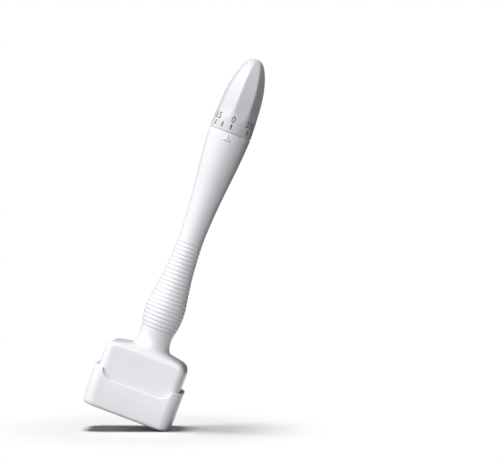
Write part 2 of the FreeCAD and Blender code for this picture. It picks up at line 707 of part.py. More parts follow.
def open_ring(label, inner, outer, bottom, thickness, mouth):
    """A flat spring clip: a ring with a straight mouth on its right side."""
    body = new_body(label)
    sketch = new_sketch(body, "ring", offset=bottom)
    add_circle(sketch, outer)
    add_circle(sketch, inner)
    pad(body, sketch, thickness)
    slot = new_sketch(body, "mouth", offset=f"{bottom} + {thickness}")
    half, reach = f"({mouth}) / 2", f"({outer}) * 2"
    add_polygon(slot, [("0", f"-{half}"), (reach, f"-{half}"), (reach, half), ("0", half)])
    pocket(body, slot, thickness)
    return body


def make_knob_clip():
    """The clip under the sleeve that keeps the knob from lifting off."""
    return open_ring("knob_clip", "clip_groove_radius", "clip_outer_radius",
                     "clip_top - clip_thickness", "clip_thickness", "clip_mouth")


def make_knob_seal():
    """The round rubber ring in the spigot that makes the knob turn smoothly."""
    body = new_body("knob_seal")
    sketch = new_sketch(body, "section", "XZ_Plane")
    centre = "sleeve_bore - seal_gap - seal_wire"
    add_circle(sketch, "seal_wire", centre, "seal_height")
    revolve(body, sketch)
    return body


def make_push_rod():
    """The push rod: a threaded top, a neck for the seat clip and two flats down to its foot."""
    seat_top = "seat_height + seat_thickness"
    neck = "thread_bottom - thread_neck"
    top = "thread_bottom + thread_length"
    body = turned("push_rod", [
        ("0", "rod_bottom"), ("rod_radius", "rod_bottom"), ("rod_radius", "seat_height"),
        ("seat_groove_radius", "seat_height"), ("seat_groove_radius", seat_top),
        ("rod_radius", seat_top), ("rod_radius", f"{neck} - thread_neck / 2"),
        ("thread_core_radius", neck), ("thread_core_radius", top), ("0", top),
    ])
    for side in ("-1", "1"):
        flat = new_sketch(body, f"flat_{'low' if side == '-1' else 'high'}", offset="rod_flat_top")
        near, far = f"{side} * rod_flat", f"{side} * rod_radius * 1.5"
        wide = "rod_radius * 1.5"
        add_polygon(flat, [(f"-{wide}", near), (wide, near), (wide, far), (f"-{wide}", far)])
        pocket(body, flat, "rod_flat_top - rod_bottom + overlap")
    thread = new_sketch(body, "thread", "XZ_Plane")
    add_thread(thread, "thread_bottom", "0")
    helix(body, "AdditiveHelix", thread, "thread_lead", "thread_length - thread_lead")
    pin = new_sketch(body, "pin_hole", "XZ_Plane")
    add_circle(pin, "pin_radius", up="pin_height")
    pocket(body, pin, "rod_radius * 4", midplane=True)
    return body


def make_seat_clip():
    """The clip on the push rod that the return spring lifts."""
    return open_ring("spring_seat_clip", "seat_groove_radius", "seat_radius",
                     "seat_height", "seat_thickness", "seat_mouth")


def needle_grid(body, feature):
    """Repeat one needle, or one hole, over the whole field of needles."""
    pattern = body.newObject("PartDesign::LinearPattern", f"{feature.Name}_grid")
    pattern.Originals = [feature]
    pattern.Direction = (origin_part(body, "X_Axis"), [""])
    pattern.Direction2 = (origin_part(body, "Y_Axis"), [""])
    bind(pattern, "Length", "needle_pitch_across * (needle_columns - 1)")
    bind(pattern, "Length2", "needle_pitch_deep * (needle_rows - 1)")
    bind(pattern, "Occurrences", "needle_columns")
    bind(pattern, "Occurrences2", "needle_rows")
    body.Tip = pattern
    doc.recompute()


FIRST_NEEDLE = ("-needle_pitch_across * (needle_columns - 1) / 2",
                "-needle_pitch_deep * (needle_rows - 1) / 2")


def drill_needle_field(body, top, radius, depth):
    """Drill one hole for each needle from above."""
    sketch = new_sketch(body, "needle_hole", offset=top)
    add_circle(sketch, radius, *FIRST_NEEDLE)
    needle_grid(body, pocket(body, sketch, depth))


def make_guide_plate():
    """The plate that closes the head, with one hole for each needle."""
    body = slab(
        "needle_guide_plate", "head_width / 2 - head_wall", "head_depth / 2 - head_wall",
        "head_corner - head_wall", "head_bottom", "plate_thickness",
    )
    top, radius = "head_bottom + plate_thickness", "needle_radius + needle_hole_gap"
    drill_needle_field(body, top, radius, "plate_thickness")
    return body


def make_needles():
    """All the needles: thin shafts with a cone point, tips level with the guide plate at rest."""
    body = new_body("needles")
    body.AllowCompound = True
    across, deep = FIRST_NEEDLE
    sketch = new_sketch(body, "shaft", "XZ_Plane", offset=f"-({deep})", shift=across)
    point = "head_bottom + needle_point"
    corners = [("0", "head_bottom"), ("needle_radius", point), ("needle_radius", "block_top")]
    add_polygon(sketch, corners + [("0", "block_top")])
    needle_grid(body, revolve(body, sketch, around_sketch=True))
    return body


def make_needle_block():
    """The block that holds the needles and slides in the head."""
    body = slab(
        "needle_block", "head_width / 2 - head_wall - block_gap",
        "head_depth / 2 - head_wall - block_gap", "block_corner", "block_bottom",
        "block_thickness",
    )
    drill_needle_field(body, "block_top", "needle_radius", "block_thickness")
    return body


def drill_screw_holes(body, top, depth):
    """Drill the two holes of the carriage screws from above."""
    sketch = new_sketch(body, "screw_holes", offset=top)
    for side in ("-1", "1"):
        add_circle(sketch, "screw_radius", f"{side} * screw_spacing / 2")
    pocket(body, sketch, depth)


def make_backing_plate():
    """The plate over the needle ends, which the two carriage screws hold to the yoke."""
    inset = "(head_wall + block_gap + backing_inset)"
    body = slab(
        "needle_backing_plate", f"head_width / 2 - {inset}", f"head_depth / 2 - {inset}",
        "block_corner", "block_top", "backing_thickness",
    )
    drill_screw_holes(body, "backing_top", "backing_top - screw_end")
    return body


def make_yoke():
    """The saddle that joins the push rod to the needle block."""
    body = slab("carriage_yoke", "yoke_width / 2", "yoke_depth / 2", "yoke_corner", "backing_top",
                "yoke_thickness")
    boss = new_sketch(body, "boss", offset="backing_top")
    add_circle(boss, "yoke_boss_radius")
    pad(body, boss, "yoke_boss_top - backing_top")
    socket = new_sketch(body, "socket", offset="yoke_boss_top")
    add_circle(socket, "rod_radius")
    pocket(body, socket, "yoke_boss_top - rod_bottom")
    drill_screw_holes(body, "yoke_top", "yoke_thickness")
    pin = new_sketch(body, "pin_hole", "XZ_Plane")
    add_circle(pin, "pin_radius", up="pin_height")
    pocket(body, pin, "yoke_boss_radius * 4", midplane=True)
    return body


def make_yoke_pin():
    """The cross pin through the yoke and the foot of the push rod."""
    pin = doc.addObject("Part::Cylinder", "yoke_pin")
    pin.Placement = FreeCAD.Placement(V(0, 0, 0), FreeCAD.Rotation(V(1, 0, 0), 90))
    bind(pin, "Radius", "pin_radius")
    bind(pin, "Height", "2 * (yoke_boss_radius - pin_inset)")
    bind(pin, "Placement.Base.y", "yoke_boss_radius - pin_inset")
    bind(pin, "Placement.Base.z", "pin_height")
    doc.recompute()
    return pin


def make_screw(label, side):
    """One carriage screw: a cheese head with a driver slot, on a plain shank."""
    body = new_body(label)
    across = f"{side} * screw_spacing / 2"
    for name, radius, low, high in (
        ("head", "screw_head_radius", "yoke_top", "yoke_top + screw_head_height"),
        ("shank", "screw_radius", "screw_end", "yoke_top + overlap"),
    ):
        sketch = new_sketch(body, name, offset=low)
        add_circle(sketch, radius, across)
        pad(body, sketch, f"{high} - ({low})")
    slot = new_sketch(body, "slot", offset="yoke_top + screw_head_height")
    half, reach = "screw_slot_width / 2", "screw_head_radius * 1.5"
    add_polygon(slot, [
        (f"{across} - {half}", f"-({reach})"), (f"{across} + {half}", f"-({reach})"),
        (f"{across} + {half}", reach), (f"{across} - {half}", reach),
    ])
    pocket(body, slot, "screw_slot_depth")
    return body


def make_all():
    """Build every piece, in the order in which they are put together."""
    return [
        make_cap(), make_handle(), make_guide_plate(), make_guide_bush(), make_return_spring(),
        make_bearing_sleeve(), make_click_spring(), make_click_ball(), make_knob(),
        make_drive_nut(), make_knob_seal(), make_knob_clip(), make_push_rod(), make_seat_clip(),
        make_yoke(), make_yoke_pin(), make_screw("carriage_screw_left", "-1"),
        make_screw("carriage_screw_right", "1"), make_backing_plate(), make_needle_block(),
        make_needles(),
    ]


def check(pieces):
    """Stop if any object failed to build or any piece is not a sound solid."""
    for thing in doc.Objects:
        if {"Invalid", "Error"} & set(thing.State):
            raise RuntimeError(f"{thing.Name} did not build: {thing.State}")
    for piece in pieces:
        if piece.Shape.isNull() or not piece.Shape.isValid() or not piece.Shape.Solids:
            raise RuntimeError(f"{piece.Label} is not a valid solid")
    labels = [piece.Label for piece in pieces]
    if len(set(labels)) != len(labels):
        raise RuntimeError("two pieces share a label")


pieces = make_all()
doc.recompute()
check(pieces)
os.makedirs("parts", exist_ok=True)
for piece in pieces:
    piece.Shape.exportStep(os.path.join("parts", f"{piece.Label}.step"))
    print(f"{piece.Label}: {len(piece.Shape.Solids)} solid(s), {piece.Shape.Volume:.1f} mm3")
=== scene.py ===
"""Looks of an adjustable derma stamp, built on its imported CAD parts.

The cap, the handle and the depth knob get finished pieces of their own, with a printed depth scale
and a raised pointer.  The works inside keep their CAD shapes and take a material each.
"""
import logging
import math
from collections.abc import Callable, Iterable, Sequence
from dataclasses import dataclass, field
from enum import Enum

import bmesh
import bpy
from mathutils import Matrix, Vector


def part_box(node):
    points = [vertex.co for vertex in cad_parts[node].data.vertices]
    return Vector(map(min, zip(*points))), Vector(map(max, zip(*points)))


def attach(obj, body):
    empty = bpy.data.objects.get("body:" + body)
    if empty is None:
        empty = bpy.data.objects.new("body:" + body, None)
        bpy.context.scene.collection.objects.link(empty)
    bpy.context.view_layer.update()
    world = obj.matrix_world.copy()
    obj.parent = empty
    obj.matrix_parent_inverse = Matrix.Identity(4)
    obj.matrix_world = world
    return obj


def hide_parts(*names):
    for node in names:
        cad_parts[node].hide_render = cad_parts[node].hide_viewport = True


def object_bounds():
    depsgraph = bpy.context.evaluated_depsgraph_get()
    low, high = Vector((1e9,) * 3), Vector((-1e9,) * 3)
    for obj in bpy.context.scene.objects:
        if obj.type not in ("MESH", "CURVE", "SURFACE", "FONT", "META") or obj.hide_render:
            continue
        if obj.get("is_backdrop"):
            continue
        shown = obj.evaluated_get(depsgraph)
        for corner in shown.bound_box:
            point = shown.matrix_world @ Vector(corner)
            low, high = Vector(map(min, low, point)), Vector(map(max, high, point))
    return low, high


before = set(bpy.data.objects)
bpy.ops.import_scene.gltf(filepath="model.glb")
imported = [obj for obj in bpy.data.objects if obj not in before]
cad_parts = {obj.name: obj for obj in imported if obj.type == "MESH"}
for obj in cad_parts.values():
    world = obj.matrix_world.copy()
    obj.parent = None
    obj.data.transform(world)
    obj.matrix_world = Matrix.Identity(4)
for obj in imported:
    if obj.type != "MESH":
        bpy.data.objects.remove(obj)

Colour = tuple[float, float, float]
Pair = tuple[float, float]
Ring = Callable[[float], Vector]

LOG = logging.getLogger("derma_stamp")
MM = 0.001
FRONT = math.radians(-90.0)
SHARP = math.radians(45.0)
ACROSS = Vector((1.0, 0.0, 0.0))
ALONG = Vector((0.0, 1.0, 0.0))
HALVINGS = 40
SIDE_END, CORNER_END = 0.18, 0.47


# ---------------------------------------------------------------------------------------- shaders

class Socket:
    """An output socket, so that shader maths reads as an expression."""

    def __init__(self, graph: "Graph", link: bpy.types.NodeSocket) -> None:
        """Keep the graph that owns the socket, and the socket."""
        self.graph = graph
        self.link = link

    def _math(self, operation: str, *values: object) -> "Socket":
        """Add one Math node."""
        return self.graph.node("ShaderNodeMath", {"operation": operation}, dict(enumerate(values)))

    def __add__(self, other: object) -> "Socket":
        """This value plus another."""
        return self._math("ADD", self, other)

    __radd__ = __add__

    def __sub__(self, other: object) -> "Socket":
        """This value less another."""
        return self._math("SUBTRACT", self, other)

    def __rsub__(self, other: object) -> "Socket":
        """Another value less this one."""
        return self._math("SUBTRACT", other, self)

    def __mul__(self, other: object) -> "Socket":
        """This value times another."""
        return self._math("MULTIPLY", self, other)

    __rmul__ = __mul__

    def maximum(self, other: object) -> "Socket":
        """The larger of this value and another."""
        return self._math("MAXIMUM", self, other)

    def ramp(self, low: float, high: float) -> "Socket":
        """This value stretched so that low becomes 0 and high becomes 1, and held there.

        Args:
            low: The value that becomes 0.
            high: The value that becomes 1.

        Returns:
            The stretched value.
        """
        inputs = {"Value": self, "From Min": low, "From Max": high}
        return self.graph.node("ShaderNodeMapRange", {"interpolation_type": "SMOOTHSTEP"}, inputs)


class Graph:
    """The node tree of one material or world, filled from Python."""

    def __init__(self, owner: bpy.types.ID) -> None:
        """Empty the owner's node tree and keep it.

        Args:
            owner: The material or world.
        """
        owner.use_nodes = True
        self.tree = owner.node_tree
        self.tree.nodes.clear()

    def node(
        self, kind: str, settings: dict[str, object], inputs: dict[object, object],
        output: str | int = 0,
    ) -> Socket | None:
        """Add one node.

        Args:
            kind: The node's type name.
            settings: Its properties, set before anything else.
            inputs: Values or sockets for its inputs, by name or number.
            output: The output to return.

        Returns:
            That output, or None from a node that has none.
        """
        made = self.tree.nodes.new(kind)
        for name, value in settings.items():
            setattr(made, name, value)
        for name, value in inputs.items():
            if isinstance(value, Socket):
                self.tree.links.new(value.link, made.inputs[name])
            else:
                made.inputs[name].default_value = value
        return Socket(self, made.outputs[output]) if made.outputs else None

    def object_place(self, stretch: tuple[float, float, float] = (1.0, 1.0, 1.0)) -> Socket:
        """The place on the piece in metres, stretched along its axes."""
        place = self.node("ShaderNodeTexCoord", {}, {}, "Object")
        return self.node("ShaderNodeMapping", {}, {"Vector": place, "Scale": stretch})

    def axis(self, name: str) -> Socket:
        """One axis, X, Y or Z, of the place on the piece, in metres."""
        return self.node("ShaderNodeSeparateXYZ", {}, {"Vector": self.object_place()}, name)

    def noise(self, size: float, detail: float = 2.0, place: Socket | None = None) -> Socket:
        """Soft random values from 0 to 1.

        Args:
            size: The size of a blotch, in metres.
            detail: How many finer layers lie on it.
            place: The place to read it at; the plain place on the piece if None.

        Returns:
            The noise.
        """
        inputs = {"Vector": place or self.object_place(), "Scale": 1.0 / size, "Detail": detail}
        return self.node("ShaderNodeTexNoise", {}, inputs, "Fac")

    def mix(self, share: Socket, low: object, high: object) -> Socket:
        """A colour between two others."""
        inputs = {"Factor": share, 6: low, 7: high}
        return self.node("ShaderNodeMix", {"data_type": "RGBA"}, inputs, 2)

    def bump(self, height: Socket, depth: float, strength: float = 1.0) -> Socket:
        """Normals bent by a height from 0 to 1 that stands for a depth in metres."""
        inputs = {"Height": height, "Distance": depth, "Strength": strength}
        return self.node("ShaderNodeBump", {}, inputs)

    def seen(self) -> Socket:
        """Tell the rays that the camera sees, straight, mirrored or through glass.

        Returns:
            1 for those rays and 0 for the rest.
        """
        kinds = ("Is Camera Ray", "Is Glossy Ray", "Is Transmission Ray")
        straight, mirrored, through = (
            self.node("ShaderNodeLightPath", {}, {}, kind) for kind in kinds
        )
        return straight.maximum(mirrored).maximum(through)

    def surface(self, shader: Socket) -> None:
        """Make a shader the material's surface."""
        self.node("ShaderNodeOutputMaterial", {}, {"Surface": shader})


def shade(colour: Colour, by: float = 1.0) -> tuple[float, float, float, float]:
    """A colour with its alpha, made lighter or darker by a factor."""
    return (*(min(1.0, part * by) for part in colour), 1.0)


@dataclass(frozen=True)
class Surface:
    """A finish that makes its own material."""

    name: str

    def inputs(self, graph: Graph) -> dict[str, object]:
        """The values and sockets for the Principled shader."""
        raise NotImplementedError

    def material(self) -> bpy.types.Material:
        """Build the material.

        Returns:
            The material, whose surface is one Principled shader.
        """
        made = bpy.data.materials.new(self.name)
        graph = Graph(made)
        graph.surface(graph.node("ShaderNodeBsdfPrincipled", {}, self.inputs(graph)))
        return made


@dataclass(frozen=True)
class MouldedPlastic(Surface):
    """Injection-moulded plastic: flow marks, a fine spark-eroded skin and light handling wear."""

    colour: Colour
    roughness: float = 0.3
    skin_size: float = 0.35 * MM
    skin_depth: float = 0.004 * MM
    flow: float = 0.03
    coat: float = 0.12

    def inputs(self, graph: Graph) -> dict[str, object]:
        """Work out the Principled shader's inputs.

        Args:
            graph: The material's node tree.

        Returns:
            Values and sockets by input name.
        """
        flow = graph.noise(14.0 * MM, 2.0, graph.object_place((1.0, 1.0, 0.45)))
        skin = graph.noise(self.skin_size, 3.0)
        scuffs = graph.noise(1.1 * MM, 1.0, graph.object_place((1.0, 1.0, 0.08))).ramp(0.62, 0.72)
        dark = shade(self.colour, 1.0 - self.flow)
        return {
            "Base Color": graph.mix(flow.ramp(0.3, 0.7), dark, shade(self.colour)),
            "Roughness": self.roughness + flow * 0.06 + scuffs * 0.05 + skin * 0.03,
            "Coat Weight": self.coat, "Coat Roughness": 0.2, "IOR": 1.49,
            "Normal": graph.bump(skin, self.skin_depth),
        }


@dataclass(frozen=True)
class RibbedPlastic(Surface):
    """The handle's plastic: as moulded, with painted shade darkening the grip's grooves and a
    duller, handled grip.
    """

    colour: Colour
    low: float
    high: float
    pitch: float
    roughness: float = 0.3

    def inputs(self, graph: Graph) -> dict[str, object]:
        """Work out the Principled shader's inputs.

        Args:
            graph: The material's node tree.

        Returns:
            Values and sockets by input name.
        """
        height = graph.axis("Z")
        grip = height.ramp(self.low - self.pitch, self.low) * (
            1.0 - height.ramp(self.high, self.high + self.pitch)
        )
        turn = (height - self.low) * (2.0 * math.pi / self.pitch)
        groove = graph.node("ShaderNodeMath", {"operation": "COSINE"}, {0: turn}).ramp(0.55, 1.0)
        flow = graph.noise(16.0 * MM, 2.0, graph.object_place((1.0, 1.0, 0.4)))
        skin = graph.noise(0.35 * MM, 3.0)
        scuffs = graph.noise(1.2 * MM, 1.0, graph.object_place((1.0, 1.0, 0.08))).ramp(0.62, 0.72)
        plain_colour = graph.mix(flow.ramp(0.3, 0.7), shade(self.colour, 0.97), shade(self.colour))
        # Painted shade: the grip's grooves are darkened, in patches, in the base colour.
        groove_shade = grip * groove * (0.35 + 0.3 * graph.noise(5.0 * MM))
        return {
            # The painted groove shade takes the base colour down to 72 per cent in the grooves.
            "Base Color": graph.mix(groove_shade, plain_colour, shade(self.colour, 0.72)),
            "Roughness": self.roughness + flow * 0.06 + scuffs * 0.05 + grip * 0.06,
            "Coat Weight": 0.12 - grip * 0.06, "Coat Roughness": 0.2, "IOR": 1.49,
            "Normal": graph.bump(skin, 0.004 * MM),
        }


@dataclass(frozen=True)
class PrintedInk(Surface):
    """Pad-printed ink: near black, a little thin in places."""

    colour: Colour

    def inputs(self, graph: Graph) -> dict[str, object]:
        """Work out the Principled shader's inputs.

        Args:
            graph: The material's node tree.

        Returns:
            Values and sockets by input name.
        """
        thin = graph.noise(0.3 * MM, 3.0).ramp(0.5, 0.8)
        return {
            "Base Color": graph.mix(thin, shade(self.colour), shade(self.colour, 2.2)),
            "Roughness": 0.42 + thin * 0.12,
            "Normal": graph.bump(graph.noise(0.12 * MM), 0.003 * MM),
        }


class Finish(Enum):
    """How a metal piece was last worked."""

    DRAWN = (1.0, 1.0, 0.06)
    TURNED = (0.06, 0.06, 1.0)
    POLISHED = (1.0, 1.0, 1.0)


@dataclass(frozen=True)
class Steel(Surface):
    """Steel with the fine lines that its last working left."""

    finish: Finish
    colour: Colour = (0.62, 0.63, 0.65)
    roughness: float = 0.22
    line: float = 0.12 * MM

    def inputs(self, graph: Graph) -> dict[str, object]:
        """Work out the Principled shader's inputs.

        Args:
            graph: The material's node tree.

        Returns:
            Values and sockets by input name.
        """
        lines = graph.noise(self.line, 3.0, graph.object_place(self.finish.value))
        patches = graph.noise(3.0 * MM, 2.0)
        return {
            "Base Color": graph.mix(patches, shade(self.colour, 0.86), shade(self.colour)),
            "Roughness": self.roughness + lines * 0.14 + patches * 0.06,
            "Metallic": 1.0,
            "Normal": graph.bump(lines, 0.004 * MM),
        }


@dataclass(frozen=True)
class Rubber(Surface):
    """Soft black rubber with a bloom on it."""

    colour: Colour = (0.02, 0.02, 0.022)

    def inputs(self, graph: Graph) -> dict[str, object]:
        """Work out the Principled shader's inputs.

        Args:
            graph: The material's node tree.

        Returns:
            Values and sockets by input name.
        """
        bloom = graph.noise(1.5 * MM, 4.0).ramp(0.4, 0.8)
        return {
            "Base Color": graph.mix(bloom, shade(self.colour), shade(self.colour, 2.5)),
            "Roughness": 0.62 + bloom * 0.2,
            "Normal": graph.bump(graph.noise(0.2 * MM), 0.006 * MM),
        }


# ---------------------------------------------------------------------------------------- shaping

@dataclass(frozen=True)
class SmoothLine:
    """A cubic line on control points, each a radius and a height in metres."""

    points: tuple[Pair, ...]
    known: dict[float, float] = field(default_factory=dict, compare=False)

    def at(self, share: float) -> Pair:
        """Find a point of the line.

        Args:
            share: How far along the line it lies, from 0 to 1.

        Returns:
            Its radius and height.
        """
        spans = len(self.points) - 3
        knots = [0.0] * 4 + [float(k) for k in range(1, spans)] + [float(spans)] * 4
        t = min(max(share, 0.0), 1.0) * spans
        first = min(int(t), spans - 1) + 3
        near = [Vector(self.points[first - 3 + k]) for k in range(4)]
        for level in range(1, 4):
            for k in range(3, level - 1, -1):
                low, high = knots[first - 3 + k], knots[first + 1 + k - level]
                near[k] = near[k - 1].lerp(near[k], (t - low) / (high - low))
        return near[3].x, near[3].y

    def share_at(self, height: float) -> float:
        """Find where the rising line reaches a height.

        Args:
            height: The height, in metres.

        Returns:
            The share of the way along.
        """
        low, high = 0.0, 1.0
        for _ in range(HALVINGS):
            middle = (low + high) / 2.0
            if self.at(middle)[1] < height:
                low = middle
            else:
                high = middle
        return low

    def radius(self, height: float) -> float:
        """Find the radius at a height, once for each height.

        Args:
            height: The height, in metres.

        Returns:
            The radius.
        """
        key = round(height, 8)
        if key not in self.known:
            self.known[key] = self.at(self.share_at(height))[0]
        return self.known[key]


def soft_corner(before: Pair, corner: Pair, after: Pair, steps: int = 4) -> list[Pair]:
    """Points that round one corner of an outline.

    Args:
        before: Where the rounding starts.
        corner: The sharp corner.
        after: Where the rounding ends.
        steps: How many stretches it is drawn in.

    Returns:
        The points, both ends included.
    """
    a, b, c = Vector(before), Vector(corner), Vector(after)
    shares = [k / steps for k in range(steps + 1)]
    return [tuple(a.lerp(b, t).lerp(b.lerp(c, t), t)) for t in shares]


def rounded_rectangle(angle: float, half: Pair, corner: float) -> Vector:
    """A point on a rounded rectangle, the corners given more of the turn than they span.

    Args:
        angle: The place round the outline, as a turn from +X in radians.
        half: Half of its width and of its depth.
        corner: The radius of its corners.

    Returns:
        The point, across and deep.
    """
    quarter, turn = divmod(angle / math.radians(90.0), 1.0)
    mirrored = int(quarter) % 2 == 1
    turn = 1.0 - turn if mirrored else turn
    flat_x, flat_y = half[0] - corner, half[1] - corner
    if turn < SIDE_END:
        point = Vector((half[0], flat_y * turn / SIDE_END))
    elif turn < CORNER_END:
        bend = math.radians(90.0) * (turn - SIDE_END) / (CORNER_END - SIDE_END)
        point = Vector((flat_x + corner * math.cos(bend), flat_y + corner * math.sin(bend)))
    else:
        point = Vector((flat_x * (1.0 - turn) / (1.0 - CORNER_END), half[1]))
    sign_x = 1.0 if int(quarter) % 4 in (0, 3) else -1.0
    sign_y = 1.0 if int(quarter) % 4 in (0, 1) else -1.0
    return Vector((point.x * sign_x, point.y * sign_y))


def spun(outline: Sequence[Pair], columns: int) -> bmesh.types.BMesh:
    """Turn an outline once round the Z axis.

    Args:
        outline: Radii and heights, in metres.
        columns: How many steps the turn has.

    Returns:
        The mesh, with its doubles merged.
    """
    mesh = bmesh.new()
    points = [mesh.verts.new((radius, 0.0, height)) for radius, height in outline]
    edges = [mesh.edges.new(pair) for pair in zip(points, points[1:])]
    bmesh.ops.spin(
        mesh, geom=points + edges, cent=(0.0, 0.0, 0.0), axis=(0.0, 0.0, 1.0),
        angle=math.radians(360.0), steps=columns, use_merge=True,
    )
    bmesh.ops.remove_doubles(mesh, verts=mesh.verts, dist=0.0005 * MM)
    return mesh


def drawn_on(
    mesh: bmesh.types.BMesh, ring: list[bmesh.types.BMEdge], place: Ring
) -> list[bmesh.types.BMEdge]:
    """Extrude an open ring of edges and put its new points where a rule says.

    Args:
        mesh: The mesh that owns the ring.
        ring: The ring's edges.
        place: Gives a point's new place from its turn about the Z axis.

    Returns:
        The new ring.
    """
    made = bmesh.ops.extrude_edge_only(mesh, edges=ring)["geom"]
    layer = mesh.verts.layers.float["turn"]
    fresh = {item for item in made if isinstance(item, bmesh.types.BMVert)}
    for vert in fresh:
        vert.co = place(vert[layer])
    edges = (item for item in made if isinstance(item, bmesh.types.BMEdge))
    return [edge for edge in edges if all(vert in fresh for vert in edge.verts)]


def cut_across(mesh: bmesh.types.BMesh, normal: Vector, places: Iterable[float]) -> None:
    """Cut a mesh along parallel planes.

    Args:
        mesh: The mesh to cut.
        normal: The planes' common direction.
        places: How far along it each plane lies.
    """
    for place in places:
        geometry = mesh.verts[:] + mesh.edges[:] + mesh.faces[:]
        bmesh.ops.bisect_plane(
            mesh, geom=geometry, dist=0.0001 * MM, plane_co=normal * place, plane_no=normal
        )


def linked(name: str, data: bpy.types.ID) -> bpy.types.Object:
    """Make an object of some data and put it in the scene.

    Args:
        name: The object's name.
        data: Its mesh, lamp, camera or text.

    Returns:
        The object, at the origin.
    """
    made = bpy.data.objects.new(name, data)
    bpy.context.scene.collection.objects.link(made)
    return made


def finished(
    mesh: bmesh.types.BMesh, name: str, material: bpy.types.Material, crease: float = 35.0
) -> bpy.types.Object:
    """Turn a bmesh into an object that shades smoothly up to a crease angle.

    Args:
        mesh: The bmesh, which is freed.
        name: The object's name.
        material: Its material.
        crease: The angle in degrees from which an edge stays sharp.

    Returns:
        The object, at the origin.
    """
    bmesh.ops.recalc_face_normals(mesh, faces=mesh.faces)
    data = bpy.data.meshes.new(name)
    mesh.to_mesh(data)
    mesh.free()
    data.shade_smooth()
    data.set_sharp_from_angle(angle=math.radians(crease))
    data.materials.append(material)
    return linked(name, data)


def boundary(mesh: bmesh.types.BMesh) -> list[bmesh.types.BMEdge]:
    """The edges round a mesh's openings."""
    return [edge for edge in mesh.edges if edge.is_boundary]


def ease(value: float, low: float, high: float) -> float:
    """A soft step from 0 at low to 1 at high."""
    t = min(max((value - low) / (high - low), 0.0), 1.0)
    return t * t * (3.0 - 2.0 * t)


def softly_smaller(a: float, b: float, blend: float) -> float:
    """The smaller of two sizes, rounded over where they cross."""
    near = max(blend - abs(a - b), 0.0) / blend
    return min(a, b) - near * near * blend / 4.0


# ------------------------------------------------------------------------------------------ pieces

